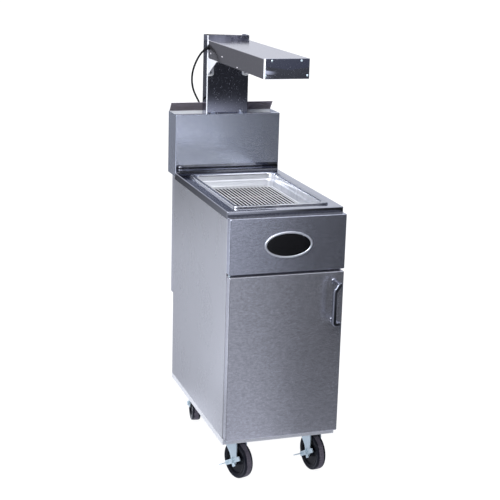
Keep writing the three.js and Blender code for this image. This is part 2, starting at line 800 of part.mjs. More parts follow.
function lampShell() {
  const half = lampWidth / 2;
  const endSheet = plateSheet;
  const bodyFront = lampFront + endSheet + gap;
  const bodyRear = lampRear - endSheet - gap;
  const section = outline([
    [-half, lampBottom], [half, lampBottom], [half, lampTop, bend], [-half, lampTop, bend],
  ]);
  const mouth = half - lampLip;
  const reliefHole = rod("x", reliefNeck / 2 + gap, -half - overrun, -half + sheet + overrun,
    [reliefY, reliefZ], 16);
  const housing = cut(
    prismY(section, bodyFront, bodyRear),
    block(-half + sheet, half - sheet, bodyFront - overrun, bodyRear + overrun, lampBottom + sheet,
      lampTop - sheet),
    block(-mouth, mouth, bodyFront - overrun, bodyRear + overrun, lampBottom - overrun,
      lampBottom + 2 * sheet),
    reliefHole,
  );
  add("lamp_housing", housing, materials.polished);

  const plate = (y0, y1) => prismY(rectangle(-half, half, lampBottom, lampTop, sheet), y0, y1);
  const screwHead = 2;
  const screwRadius = 3.6;
  const topInset = 27;
  const topDrop = 7;
  const sideInset = 6;
  const lift = 11;
  const screwPlaces = [-1, 1].flatMap((side) => [
    [side * (half - topInset), lampTop - topDrop],
    [side * (half - sideInset), lampBottom + lift],
  ]);
  const frontScrews = screwPlaces.map((place) =>
    rod("y", screwRadius, lampFront - screwHead, lampFront + endSheet / 2, place, 10));
  add("lamp_end_plate_front", join(plate(lampFront, lampFront + endSheet), ...frontScrews),
    materials.polished);
  add("lamp_end_plate_rear", plate(lampRear - endSheet, lampRear), materials.polished);
}

// The lamp's inside: reflector, element, holders and guard
function lampInside() {
  const half = lampWidth / 2;
  const reflectorSheet = 1;
  const reflectorFront = lampFront + reflectorInset;
  const reflectorRear = lampRear - reflectorInset;
  const seat = lampBottom + sheet + gap;
  const flangeX = half - sheet - 2 * gap;
  const mouthX = half - lampLip + 2 * reflectorSheet;
  const roofX = 24;
  const roofDrop = 14;
  const roofZ = lampTop - roofDrop;
  const trough = outline([
    [-flangeX, seat],
    [-mouthX, seat],
    [-roofX, roofZ - reflectorSheet],
    [roofX, roofZ - reflectorSheet],
    [mouthX, seat],
    [flangeX, seat],
    [flangeX, seat + reflectorSheet],
    [mouthX + reflectorSheet, seat + reflectorSheet],
    [roofX + reflectorSheet, roofZ],
    [-roofX - reflectorSheet, roofZ],
    [-mouthX - reflectorSheet, seat + reflectorSheet],
    [-flangeX, seat + reflectorSheet],
  ]);
  add("lamp_reflector", prismY(trough, reflectorFront, reflectorRear), materials.pan);

  const elementZ = lampBottom + elementHeight;
  const coldEnd = 14;
  const terminalRadius = 2.4;
  const element = join(
    rod("y", elementDiameter / 2, reflectorFront + coldEnd, reflectorRear - coldEnd, [0, elementZ]),
    rod("y", terminalRadius, reflectorFront, reflectorRear, [0, elementZ], 8),
  );
  add("heater_element", element, materials.element);

  const holderDepth = 10;
  const holderHalf = 11;
  const holderBottom = elementZ - holderHalf;
  const holderInset = 20;
  const holderTop = roofZ - reflectorSheet - gap;
  const holderPlaces = [
    ["element_holder_front", reflectorFront + holderInset],
    ["element_holder_rear", reflectorRear - holderInset],
  ];
  holderPlaces.forEach(([name, y]) => {
    const holder = cut(
      block(-holderHalf, holderHalf, y - holderDepth / 2, y + holderDepth / 2, holderBottom, holderTop),
      rod("y", elementDiameter / 2 + gap, y - holderDepth, y + holderDepth, [0, elementZ], 16),
    );
    add(name, holder, materials.ceramic);
  });

  const railRadius = 1.5;
  const crossRadius = 1.2;
  const railX = half - lampLip - gap - railRadius;
  const railZ = lampBottom + railRadius;
  const guardFront = lampFront + plateSheet + gap;
  const guardRear = lampRear - plateSheet - gap;
  const rails = [-railX, railX].map((x) =>
    rod("y", railRadius, guardFront, guardRear, [x, railZ], wireSides));
  const guardBars = 13;
  const guardStep = (guardRear - guardFront) / guardBars;
  const crosses = Array.from({ length: guardBars }, (_, i) =>
    rod("x", crossRadius, -railX, railX, [guardFront + (i + 1 / 2) * guardStep, railZ], wireSides));
  add("element_guard", join(...rails, ...crosses), materials.zinc);
}

// Strain relief in the lamp's left side, the cord, and the plug on the floor behind the cabinet
const reliefInset = 14.9; // from the lamp's rear
const reliefDrop = 24.5; // from the lamp's top
const reliefNeck = 14;
const reliefCollar = 19;
const reliefSleeve = 12; // at the collar
const sleeveTip = 9.2;
const collarThickness = 4;
const sleeveLength = 22;
const sleeveRun = [-0.74, 0.2, -0.64]; // direction in which the cord leaves the sleeve
const reliefY = lampRear - reliefInset;
const reliefZ = lampTop - reliefDrop;
const collarFace = -lampWidth / 2 - gap - collarThickness;

const alongSleeve = (distance) => {
  const run = new THREE.Vector3(...sleeveRun).setLength(distance);
  return [collarFace + run.x, reliefY + run.y, reliefZ + run.z];
};

function strainRelief() {
  const wallOuter = -lampWidth / 2;
  const wallInner = wallOuter + sheet;
  const nutThickness = 3;
  const innerFace = wallInner + gap + nutThickness;
  const place = [reliefY, reliefZ];
  const reliefSides = 16;
  const sleeveStart = new THREE.Vector3(...alongSleeve(-sheet));
  const sleeveEnd = new THREE.Vector3(...alongSleeve(sleeveLength));
  const run = sleeveEnd.clone().sub(sleeveStart);
  const cone = new THREE.CylinderGeometry(sleeveTip / 2, reliefSleeve / 2, run.length(), reliefSides);
  const middle = sleeveStart.clone().add(sleeveEnd).divideScalar(2);
  cone.applyQuaternion(new THREE.Quaternion().setFromUnitVectors(unit[1], run.normalize()));
  const body = join(
    rod("x", reliefNeck / 2, collarFace, innerFace, place, reliefSides),
    rod("x", reliefCollar / 2, collarFace, wallOuter - gap, place, reliefSides),
    rod("x", reliefCollar / 2, wallInner + gap, innerFace, place, 6),
    solid(cone.translate(...middle)),
  );
  add("strain_relief", body, materials.rubber);
}

const plugRadius = 13;
const plugLength = 38;
const plugNeck = 12;
const plugX = 95; // where the cord enters the plug, which points to -X on the floor
const plugInset = 80; // the plug's axis ahead of the hanging cord
const hangClearance = 8.4; // hanging cord's axis behind the riser
const hangInset = 14; // hanging cord to the right of the lamp's left side
const cordBow = 51; // how far the cord bows out from the lamp's left side
const cordCrest = 57; // riser top to where the cord starts down over the deflector
const cordTuck = 93; // riser top to where the cord hangs straight
const floorBend = 86.4; // height of the bend from the hanging stretch to the floor
const floorReach = 72; // and its length along the floor
const floorRun = 90; // straight stretch on the floor
const floorLoop = 40; // reach of the loop back to the plug
const floorClearance = 0.1;
const hangX = -lampWidth / 2 + hangInset;
const hangY = riserRear + hangClearance;
const plugY = hangY - plugInset;

// Shares of the bow, of the way back and of the fall, from the lamp to the riser's rear
const archShares = [
  [0.539, 0.072, 0.12],
  [0.718, 0.118, 0.209],
  [0.863, 0.172, 0.311],
  [0.957, 0.233, 0.413],
  [1, 0.302, 0.515],
  [0.99, 0.377, 0.617],
  [0.927, 0.46, 0.725],
  [0.755, 0.586, 0.865],
  [0.48, 0.735, 1],
];
// Shares of the bow, of the way back and of the tuck, behind the deflector
const tuckShares = [
  [0.157, 0.888, 0.344],
  [-0.098, 0.977, 0.022],
  [-0.235, 1, -0.409],
];
const hangShares = [1, 0.802, 0.519, 0.236];
const footShares = [[0, 1], [0.056, 0.479], [0.264, 0.132], [0.611, 0.008], [1, 0]];
// Shares of the loop, of the way to the plug's axis and of the lift onto it
const loopShares = [[0.707, 0.146, 0], [1, 0.5, 0.16], [0.707, 0.854, 0.532]];

function cordAndPlug() {
  const lampSide = -lampWidth / 2;
  const back = hangY - reliefY;
  const fall = reliefZ - riserTop - cordCrest;
  const floorZ = cordDiameter / 2 + floorClearance;
  const hangTop = riserTop - cordTuck;
  const runStart = hangX + floorReach;
  const loopStart = runStart + floorRun;
  const lift = plugRadius - floorZ;
  const route = polyline([
    alongSleeve(sleeveLength + gap),
    alongSleeve(sleeveLength + cordDiameter / 2),
    ...archShares.map(([out, rear, down]) =>
      [lampSide - out * cordBow, reliefY + rear * back, reliefZ - down * fall]),
    ...tuckShares.map(([out, rear, up]) =>
      [lampSide - out * cordBow, reliefY + rear * back, riserTop + up * cordTuck]),
    ...hangShares.map((share) => [hangX, hangY, share * hangTop]),
    ...footShares.map(([along, up]) =>
      [hangX + along * floorReach, hangY, floorZ + up * floorBend]),
    [runStart + floorRun / 2, hangY, floorZ],
    [loopStart, hangY, floorZ],
    ...loopShares.map(([reach, across, up]) =>
      [loopStart + reach * floorLoop, hangY - across * plugInset, floorZ + up * lift]),
    [loopStart, plugY, plugRadius],
    [plugX, plugY, plugRadius],
  ]);
  add("lamp_cord", tube(route, cordDiameter / 2, cordSides, cordSteps), materials.cord);

  const bodyStart = plugX - gap;
  const bodyEnd = bodyStart - plugNeck - plugLength;
  const neckRadius = cordDiameter / 2 + 2 * sheet;
  const body = join(
    rod("x", neckRadius, bodyStart - plugNeck - sheet, bodyStart, [plugY, plugRadius], 12),
    rod("x", plugRadius, bodyEnd, bodyStart - plugNeck, [plugY, plugRadius], 16),
  );
  add("plug_body", body, materials.rubber);

  const bladeHalfHeight = 3.2;
  const bladeHalf = 0.8;
  const bladeReach = 16;
  const bladeOffset = 6.35;
  const bladeLift = 3;
  const bladeStart = bodyEnd - gap;
  [["plug_blade_left", -1], ["plug_blade_right", 1]].forEach(([name, side]) => {
    const y = plugY + side * bladeOffset;
    const z = plugRadius + bladeLift;
    add(name,
      block(bladeStart - bladeReach, bladeStart, y - bladeHalf, y + bladeHalf, z - bladeHalfHeight,
        z + bladeHalfHeight),
      materials.brass);
  });
  const groundRadius = 2.4;
  const groundDrop = 6;
  const groundReach = bladeReach + bladeLift;
  add("plug_ground_pin",
    rod("x", groundRadius, bladeStart - groundReach, bladeStart, [plugY, plugRadius - groundDrop], 8),
    materials.brass);
}

// Casters. In a caster's own frame the kingpin is on Z, the axle runs along X and the wheel trails
// towards -Y; the top plate keeps the cabinet's directions.
const casterLeft = -width / 2 + casterInsetLeft;
const casterRight = width / 2 - casterInsetRight;
const casters = [
  { name: "caster_fl", x: casterLeft, y: frontCrossY, turn: 18, brake: true },
  { name: "caster_fr", x: casterRight, y: frontCrossY, turn: 9, brake: true },
  { name: "caster_rl", x: casterLeft, y: rearCrossY, turn: 172, brake: false },
  { name: "caster_rr", x: casterRight, y: rearCrossY, turn: 186, brake: false },
];
const plateTop = baseClearance - gap;
const plateBottom = plateTop - casterPlateSheet;
const crownTop = plateBottom - domeHeight - gap;
const crownBottom = crownTop - 2 * forkSheet;
const kingpinRadius = 8;
const legInner = hubWidth / 2 + runningClearance;
const legOuter = legInner + forkSheet;
const bossRadius = 15;
const brakeSheet = 4;

function casterPlate(name, x, y) {
  const half = casterPlateWidth / 2;
  const halfLength = casterPlateLength / 2;
  const plateCorner = 6;
  const domeSlope = 4;
  const domeFoot = crownRadius - domeSlope;
  const boltInset = 11;
  const boltRadius = 6;
  const boltHead = 4;
  const rivetHead = 4;
  const rivetRadius = 13;
  const rivetTop = crownBottom - gap;
  const plate = prismZ(rectangle(-half, half, -halfLength, halfLength, plateCorner), plateBottom, plateTop);
  const dome = revolve("z", [
    [0, plateBottom - domeHeight],
    [domeFoot, plateBottom - domeHeight],
    [crownRadius - sheet, plateBottom + sheet / 2],
    [0, plateBottom + sheet / 2],
  ], 20);
  const kingpin = rod("z", kingpinRadius, rivetTop - rivetHead, plateBottom + sheet, [0, 0]);
  const rivet = rod("z", rivetRadius, rivetTop - rivetHead, rivetTop, [0, 0], 16);
  const bolts = [-1, 1].flatMap((side) =>
    [-1, 1].map((end) =>
      rod("z", boltRadius, plateBottom - boltHead, plateBottom + sheet,
        [side * (half - boltInset), end * (halfLength - boltInset)], 6)));
  const mesh = add(`${name}_plate`, join(plate, dome, kingpin, rivet, ...bolts), materials.zinc);
  mesh.position.set(x, y, 0);
}

function casterFork(name, frame, brake) {
  const crownFront = 56; // kingpin to the crown's edge over the wheel
  const crownRear = 36;
  const crownCorner = 12;
  const skirt = 16; // depth of the crown's skirt, from which the legs narrow to the axle
  const skirtCorner = 8;
  const frontShoulder = 38; // axle to the foot of the front edge's flare
  const shoulderReach = 17; // axle to the leg's straight front edge
  const disc = rod("z", crownRadius, crownBottom, crownTop, [0, 0], 24);
  const cover = prismZ(rectangle(-legOuter, legOuter, -crownFront, crownRear, crownCorner),
    crownBottom, crownTop);
  const legTopZ = crownBottom + forkSheet;
  const bossY = -trail;
  const legs = [-1, 1].map((side) => {
    const faces = [side * legInner, side * legOuter].sort((a, b) => a - b);
    const leg = outline([
      [crownCorner - crownFront, legTopZ],
      [crownCorner / 2 - crownFront, legTopZ - skirt, skirtCorner],
      [bossY - shoulderReach, wheelRadius + frontShoulder, skirtCorner],
      [bossY - bossRadius, wheelRadius - bossRadius, bossRadius],
      [bossY + bossRadius, wheelRadius - bossRadius, bossRadius],
      [bossY + bossRadius, wheelRadius + bossRadius, bossRadius],
      [crownRear - crownCorner / 2, legTopZ - skirt, skirtCorner],
      [crownRear - crownCorner, legTopZ],
    ]);
    return prismX(leg, ...faces);
  });
  const kingpinHole = rod("z", kingpinRadius + runningClearance, crownBottom - overrun,
    crownTop + overrun, [0, 0], 16);
  const axleHole = rod("x", axleDiameter / 2 + gap, -2 * legOuter, 2 * legOuter, [bossY, wheelRadius], 16);
  add(`${name}_fork`, cut(join(disc, cover, ...legs), kingpinHole, axleHole), materials.zinc, frame);

  const boltHead = 6;
  const headRadius = 9;
  const outboard = brake ? legOuter + gap + brakeSheet + gap : legOuter + gap;
  const nutFace = -outboard - boltHead;
  const headFace = legOuter + gap + boltHead;
  const axle = join(
    rod("x", axleDiameter / 2, nutFace, headFace, [bossY, wheelRadius]),
    rod("x", headRadius, nutFace, nutFace + boltHead, [bossY, wheelRadius], 6),
    rod("x", headRadius, headFace - boltHead, headFace, [bossY, wheelRadius], 6),
  );
  add(`${name}_axle`, axle, materials.zinc, frame);
}

function casterWheel(name, frame) {
  const face = wheelWidth / 2;
  const hub = hubWidth / 2;
  const bore = axleDiameter / 2 + runningClearance;
  const hubRadius = 16;
  const webDepth = 6;
  const treadDepth = 15;
  const rimRadius = wheelRadius - treadDepth;
  const shoulder = 5;
  const quarter = [
    [hubRadius, hub],
    [hubRadius + shoulder / 2, face - webDepth],
    [rimRadius - shoulder, face - webDepth],
    [rimRadius, face - webDepth / 3],
    [wheelRadius - shoulder, face],
    [wheelRadius - shoulder / 3, face - shoulder / 2],
    [wheelRadius, face - 2 * shoulder],
  ];
  const mirrored = quarter.toReversed().map(([radius, along]) => [radius, -along]);
  const profile = [[bore, hub], ...quarter, ...mirrored, [bore, -hub], [bore, hub]].toReversed();
  const wheel = add(`${name}_wheel`, revolve("x", profile, wheelSides), materials.wheel, frame);
  wheel.position.set(0, -trail, wheelRadius);
}

// A cross-shaped lever that rocks on the axle's end, with a pedal folded outwards at its rear end
function brakeLever(name, frame) {
  const inner = -legOuter - gap;
  const outer = inner - brakeSheet;
  const armHalf = 8;
  const frontArm = 44;
  const rearArm = 46;
  const stub = 20;
  const notchShare = 0.6; // of the stub, on the lever's other side
  const tip = 3;
  const pedalReach = 28;
  const pedalSheet = 3;
  const lever = outline([
    [-frontArm, -armHalf, tip], [-armHalf, -armHalf, tip], [-armHalf, -stub, tip], [armHalf, -stub, tip],
    [armHalf, -armHalf, tip], [rearArm, -armHalf, tip], [rearArm, armHalf, tip], [armHalf, armHalf, tip],
    [0, stub * notchShare, tip], [-armHalf, armHalf, tip], [-frontArm, armHalf, tip],
  ]);
  const plate = prismX(lever, outer, inner);
  const pedal = block(outer - pedalReach, outer + brakeSheet / 2, rearArm - 3 * armHalf, rearArm - tip,
    -pedalSheet / 2, pedalSheet / 2);
  const bore = rod("x", axleDiameter / 2 + runningClearance, outer - overrun, inner + overrun, [0, 0], 16);
  const mesh = add(`${name}_brake`, cut(join(plate, pedal), bore), materials.zinc, frame);
  mesh.position.set(0, -trail, wheelRadius);
  mesh.rotation.x = THREE.MathUtils.degToRad(brakeTilt);
}
const brakeTilt = -30; // front arm up at rest

function caster({ name, x, y, turn, brake }) {
  casterPlate(name, x, y);
  const frame = new THREE.Group();
  frame.position.set(x, y, 0);
  frame.rotation.z = THREE.MathUtils.degToRad(turn);
  station.add(frame);
  casterFork(name, frame, brake);
  casterWheel(name, frame);
  if (brake) brakeLever(name, frame);
}

baseFrame();
carcass();
door();
hinges();
frontPanel();
deck();
riser();
pan();
grate();
post();
lampShell();
lampInside();
strainRelief();
cordAndPlug();
casters.forEach(caster);

// The origin is on the floor under the middle of the bounding box, which leaves out the hanging
// cord and its plug
const hanging = /^(lamp_cord|plug_)/;
const footprint = new THREE.Box3();
station.updateMatrixWorld(true);
station.traverse((object) => {
  if (object.isMesh && !hanging.test(object.name)) footprint.expandByObject(object, true);
});
station.position.y = -(footprint.min.y + footprint.max.y) / 2;

export default station;
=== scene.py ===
import json
import math

import bmesh
import bpy
from mathutils import Matrix, Vector

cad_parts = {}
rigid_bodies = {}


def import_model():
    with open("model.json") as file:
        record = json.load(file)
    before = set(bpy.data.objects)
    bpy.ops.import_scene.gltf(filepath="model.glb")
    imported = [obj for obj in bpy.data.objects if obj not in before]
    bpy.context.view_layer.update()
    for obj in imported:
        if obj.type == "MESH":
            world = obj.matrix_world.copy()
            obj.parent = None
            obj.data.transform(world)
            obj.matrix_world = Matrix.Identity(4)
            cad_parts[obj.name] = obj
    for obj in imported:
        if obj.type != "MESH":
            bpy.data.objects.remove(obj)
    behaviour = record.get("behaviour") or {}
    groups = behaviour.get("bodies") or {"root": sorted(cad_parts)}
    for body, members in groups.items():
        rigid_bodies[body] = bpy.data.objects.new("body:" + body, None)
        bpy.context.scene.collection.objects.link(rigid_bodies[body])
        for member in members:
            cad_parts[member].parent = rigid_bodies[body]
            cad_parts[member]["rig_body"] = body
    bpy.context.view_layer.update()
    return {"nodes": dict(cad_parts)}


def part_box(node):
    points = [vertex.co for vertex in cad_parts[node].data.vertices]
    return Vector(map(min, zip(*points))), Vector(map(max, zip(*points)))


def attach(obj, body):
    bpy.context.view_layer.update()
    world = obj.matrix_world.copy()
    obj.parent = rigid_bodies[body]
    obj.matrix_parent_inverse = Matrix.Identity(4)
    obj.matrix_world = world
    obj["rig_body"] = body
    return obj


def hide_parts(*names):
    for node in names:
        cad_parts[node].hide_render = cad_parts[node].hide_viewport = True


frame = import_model()
NODES = frame["nodes"]
BODY = {name: node["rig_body"] for name, node in NODES.items()}
SLOT = {name: node.material_slots[0].name for name, node in NODES.items()}
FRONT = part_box("deck_top")[0].y  # front face of the deck


def cad(x, y, z):
    """A point of the CAD source, in millimetres from the deck's front, as metres in the row frame."""
    return Vector((x / 1000, y / 1000 + FRONT, z / 1000))


def mm(value):
    return value / 1000


def add_object(name, data):
    piece = bpy.data.objects.new(name, data)
    bpy.context.scene.collection.objects.link(piece)
    return piece


# Camera: angles in radians, place in the CAD source's millimetres, lens in millimetres, clipping in metres
AZIMUTH, ELEVATION, ROLL = 0.32643, 0.25835, -0.02874
CAMERA_PLACE = (-1337.1, -3600.1, 1819.6)
FOCAL_LENGTH, SENSOR_WIDTH = 88.87, 36
CLIP_RANGE = (0.1, 200)


def make_camera():
    forward = Vector((math.sin(AZIMUTH) * math.cos(ELEVATION), math.cos(AZIMUTH) * math.cos(ELEVATION),
                      -math.sin(ELEVATION)))
    level = Vector((math.cos(AZIMUTH), -math.sin(AZIMUTH), 0))
    down = forward.cross(level)
    right = math.cos(ROLL) * level + math.sin(ROLL) * down
    up = math.sin(ROLL) * level - math.cos(ROLL) * down
    data = bpy.data.cameras.new("camera")
    data.sensor_fit = "HORIZONTAL"
    data.sensor_width = SENSOR_WIDTH
    data.lens = FOCAL_LENGTH
    data.clip_start, data.clip_end = CLIP_RANGE
    camera = add_object("camera", data)
    turned = Matrix((right, up, -forward)).transposed()
    camera.matrix_world = Matrix.Translation(cad(*CAMERA_PLACE)) @ turned.to_4x4()
    bpy.context.scene.camera = camera


# Meshes
WELD = 2e-6  # metres between corners that are taken as one
FLAT_ANGLE = 0.6  # degrees between faces that are taken as one
EDGE_ANGLE, EDGE_SEGMENTS = 40, 2  # softened edges: the least angle in degrees, and the steps
NORMAL_WEIGHT = 60
FASTENER_ANGLE = 45  # degrees between faces that stay smooth
ACROSS, BACK, UP = Vector((1, 0, 0)), Vector((0, 1, 0)), Vector((0, 0, 1))


def link(name, mesh, owner, material):
    """Adds a piece that moves with the CAD node owner and has its slot."""
    piece = add_object(name, mesh)
    mesh.materials.append(material)
    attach(piece, BODY[owner])
    return piece


def grain_map(bm, grain):
    """Texture coordinates in metres whose U runs across the grain and V along it, face by face."""
    layer = bm.loops.layers.uv.new("grain")
    for face in bm.faces:
        size = [abs(c) for c in face.normal]
        flat = size.index(max(size))
        axes = [a for a in range(3) if a != flat]
        along = grain if grain in axes else axes[1]
        across = axes[0] if along == axes[1] else axes[1]
        for loop in face.loops:
            loop[layer].uv = (loop.vert.co[across], loop.vert.co[along])


def finish_mesh(bm, name, grain=0, angle=None):
    bm.normal_update()
    if "grain" not in bm.loops.layers.uv:
        grain_map(bm, grain)
    mesh = bpy.data.meshes.new(name)
    bm.to_mesh(mesh)
    bm.free()
    mesh.shade_smooth()
    if angle is not None:
        mesh.set_sharp_from_angle(angle=math.radians(angle))
    return mesh


def soften(piece, width):
    bevel = piece.modifiers.new("edges", "BEVEL")
    bevel.width = mm(width)
    bevel.segments = EDGE_SEGMENTS
    bevel.limit_method = "ANGLE"
    bevel.angle_limit = math.radians(EDGE_ANGLE)
    bevel.use_clamp_overlap = True
    weigh = piece.modifiers.new("normals", "WEIGHTED_NORMAL")
    weigh.mode = "FACE_AREA"
    weigh.weight = NORMAL_WEIGHT
    weigh.keep_sharp = False


def dress(node, material, grain, edge):
    """The CAD node's own shape as a piece with welded faces, softened edges and grain coordinates."""
    bm = bmesh.new()
    bm.from_mesh(NODES[node].data)
    bmesh.ops.remove_doubles(bm, verts=bm.verts, dist=WELD)
    bmesh.ops.dissolve_limit(bm, angle_limit=math.radians(FLAT_ANGLE), verts=bm.verts, edges=bm.edges)
    piece = link(f"{node}_fine", finish_mesh(bm, f"{node}_fine", grain), node, material)
    soften(piece, edge)
    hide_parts(node)


def stand_for(node, bm, material, grain=0, angle=35):
    """A finely made closed mesh that takes a CAD node's place."""
    bmesh.ops.recalc_face_normals(bm, faces=bm.faces)
    piece = link(f"{node}_fine", finish_mesh(bm, f"{node}_fine", grain, angle), node, material)
    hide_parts(node)


def add_fasteners(name, bm, owner, material):
    """Small fasteners that move with a CAD node and take no node's place."""
    bmesh.ops.recalc_face_normals(bm, faces=bm.faces)
    link(name, finish_mesh(bm, name, 0, FASTENER_ANGLE), owner, material)


def basis(axis):
    """Two unit vectors square to an axis, and the axis at length one."""
    w = axis.normalized()
    u = UP.cross(w)
    u = u.normalized() if u.length > 1e-3 else ACROSS
    return u, w.cross(u), w


def circle(centre, u, v, radius, sides):
    """Points round a centre in metres; radius in millimetres."""
    turns = [2 * math.pi * i / sides for i in range(sides)]
    return [centre + mm(radius) * (math.cos(a) * u + math.sin(a) * v) for a in turns]


def lathe(bm, profile, centre, axis, sides):
    """Turns [radius, along] pairs in millimetres round an axis through centre, with tips on the axis."""
    u, v, w = basis(axis)
    rings = []
    for radius, along in profile:
        middle = centre + w * mm(along)
        points = circle(middle, u, v, radius, sides) if radius > 1e-6 else [middle]
        rings.append([bm.verts.new(point) for point in points])
    for a, b in zip(rings, rings[1:]):
        for i in range(sides):
            j = (i + 1) % sides
            if len(a) == 1:
                bm.faces.new((a[0], b[j], b[i]))
            elif len(b) == 1:
                bm.faces.new((a[i], a[j], b[0]))
            else:
                bm.faces.new((a[i], a[j], b[j], b[i]))


def round_rod(bm, start, end, radius, sides):
    """A wire with rounded ends; points and radius in millimetres."""
    start, end = cad(*start), cad(*end)
    axis = end - start
    length = axis.length * 1000
    cap = [(radius * math.sin(a), radius * (1 - math.cos(a))) for a in (0, 0.5, 1.0, math.pi / 2)]
    profile = [*cap, *[(r, length - along) for r, along in reversed(cap)]]
    lathe(bm, profile, start, axis, sides)


def sweep(bm, points, radii, sides):
    """A round tube along points in metres, with a radius in millimetres at each of them."""
    last = len(points) - 1
    tangents = [(points[min(i + 1, last)] - points[max(i - 1, 0)]).normalized() for i in range(last + 1)]
    u, _, _ = basis(tangents[0])
    rings = []
    for point, tangent, radius in zip(points, tangents, radii):
        u = (u - tangent * u.dot(tangent)).normalized()
        v = tangent.cross(u)
        rings.append(circle(point, u, v, radius, sides))
    loft(bm, rings)


def loft(bm, rings, closed=False):
    """Joins rings of points in metres, and caps both ends or joins the last ring to the first."""
    made = [[bm.verts.new(p) for p in ring] for ring in rings]
    count = len(made[0])
    for a, b in zip(made, [*made[1:], made[0]] if closed else made[1:]):
        for i in range(count):
            j = (i + 1) % count
            bm.faces.new((a[i], a[j], b[j], b[i]))
    if not closed:
        bm.faces.new(made[0][::-1])
        bm.faces.new(made[-1])


def smooth_line(points, steps):
    """Points along a centripetal Catmull-Rom curve through points, as the CAD source has it."""
    points = [Vector(p) for p in points]
    padded = [2 * points[0] - points[1], *points, 2 * points[-1] - points[-2]]
    line = []
    for p0, p1, p2, p3 in zip(padded, padded[1:], padded[2:], padded[3:]):
        d0, d1, d2 = (max((b - a).length ** 0.5, 1e-4) for a, b in ((p0, p1), (p1, p2), (p2, p3)))
        t1 = ((p1 - p0) / d0 - (p2 - p0) / (d0 + d1) + (p2 - p1) / d1) * d1
        t2 = ((p2 - p1) / d1 - (p3 - p1) / (d1 + d2) + (p3 - p2) / d2) * d1
        for i in range(steps):
            s = i / steps
            line.append((2 * s ** 3 - 3 * s ** 2 + 1) * p1 + (s ** 3 - 2 * s ** 2 + s) * t1
                        + (3 * s ** 2 - 2 * s ** 3) * p2 + (s ** 3 - s ** 2) * t2)
    line.append(points[-1])
    return line


# Materials
class Nodes:
    """A node tree that is built up by small steps. A value is a number, a tuple or a node's output."""

    def __init__(self, tree):
        self.tree = tree
        self.tree.nodes.clear()

    def join(self, value, socket):
        if hasattr(value, "is_output"):
            self.tree.links.new(value, socket)
        else:
            socket.default_value = value

    def node(self, kind, **settings):
        """A new node. A setting names an input, with _ for a blank, or else a property of the node."""
        node = self.tree.nodes.new(kind)
        for key, value in settings.items():
            label = key.replace("_", " ")
            if label in node.inputs:
                self.join(value, node.inputs[label])
            else:
                setattr(node, key, value)
        return node

    def math(self, operation, a, b=0.0, clamp=False):
        node = self.node("ShaderNodeMath", operation=operation, use_clamp=clamp)
        self.join(a, node.inputs[0])
        self.join(b, node.inputs[1])
        return node.outputs[0]

    def times(self, a, b):
        return self.math("MULTIPLY", a, b)

    def plus(self, a, b):
        return self.math("ADD", a, b)

    def rest(self, share):
        """What a share leaves of one."""
        return self.math("SUBTRACT", 1.0, share)

    def centred(self, value, factor):
        """How far a texture's value lies above a half, times a factor."""
        return self.times(self.math("SUBTRACT", value, 0.5), factor)

    def vector(self, operation, a, b=None):
        """Vector mathematics on two values, on one, or on one and the scale b."""
        node = self.node("ShaderNodeVectorMath", operation=operation)
        self.join(a, node.inputs[0])
        if b is not None:
            self.join(b, node.inputs["Scale" if operation == "SCALE" else 1])
        return node.outputs["Value" if operation in ("DOT_PRODUCT", "LENGTH") else "Vector"]

    def parts(self, vector):
        return self.node("ShaderNodeSeparateXYZ", Vector=vector).outputs

    def ramp(self, value, low, high, to_low=0.0, to_high=1.0):
        """Runs smoothly from to_low at low to to_high at high."""
        node = self.node("ShaderNodeMapRange", interpolation_type="SMOOTHSTEP", Value=value, From_Min=low,
                         From_Max=high, To_Min=to_low, To_Max=to_high)
        return node.outputs[0]

    def mix(self, share, a, b):
        node = self.node("ShaderNodeMix", data_type="RGBA")
        for label, kind, value in (("Factor", "VALUE", share), ("A", "RGBA", a), ("B", "RGBA", b)):
            socket = next(s for s in node.inputs if s.name == label and s.type == kind)
            self.join((*value, 1) if isinstance(value, tuple) else value, socket)
        return next(s for s in node.outputs if s.type == "RGBA")

    def blend(self, share, a, b):
        """The light of one shader or the other, by share."""
        node = self.node("ShaderNodeMixShader", Fac=share)
        self.join(a.outputs[0], node.inputs[1])
        self.join(b.outputs[0], node.inputs[2])
        return node


class Paint(Nodes):
    """A material whose textures lie in the object's own metres."""

    def __init__(self, name, **settings):
        self.material = bpy.data.materials.new(name)
        self.material.use_nodes = True
        super().__init__(self.material.node_tree)
        self.out = self.node("ShaderNodeOutputMaterial")
        self.shader = self.node("ShaderNodeBsdfPrincipled", **settings)
        self.join(self.shader.outputs[0], self.out.inputs["Surface"])
        self.place = self.node("ShaderNodeTexCoord").outputs["Object"]

    def noise(self, scale, detail, roughness=0.6, distortion=0.0, turn=(0, 0, 0), shift=(0, 0, 0)):
        """Noise in waves per metre, one number or three, turned before and shifted after it is scaled."""
        scale = scale if isinstance(scale, tuple) else (scale, scale, scale)
        turned = self.node("ShaderNodeMapping", Vector=self.place, Rotation=turn).outputs[0]
        place = self.node("ShaderNodeMapping", Vector=turned, Scale=scale, Location=shift).outputs[0]
        node = self.node("ShaderNodeTexNoise", Vector=place, Scale=1, Detail=detail, Roughness=roughness,
                         Distortion=distortion)
        return node.outputs["Fac"]

    def cells(self, scale):
        return self.node("ShaderNodeTexVoronoi", Vector=self.place, Scale=scale).outputs["Distance"]

    def set(self, label, value):
        self.join(value, self.shader.inputs[label])

    def finish(self, tone, roughness, height, strength, depth):
        """The material with its colour, its roughness and a relief that is depth metres deep."""
        self.set("Base Color", tone)
        self.set("Roughness", roughness)
        relief = self.node("ShaderNodeBump", Height=height, Strength=strength, Distance=depth)
        self.set("Normal", relief.outputs[0])
        return self.material

    def tangent(self):
        node = self.node("ShaderNodeTangent", direction_type="UV_MAP", uv_map="grain")
        self.set("Tangent", node.outputs[0])


def shade(color, factor):
    return tuple(min(1.0, c * factor) for c in color)


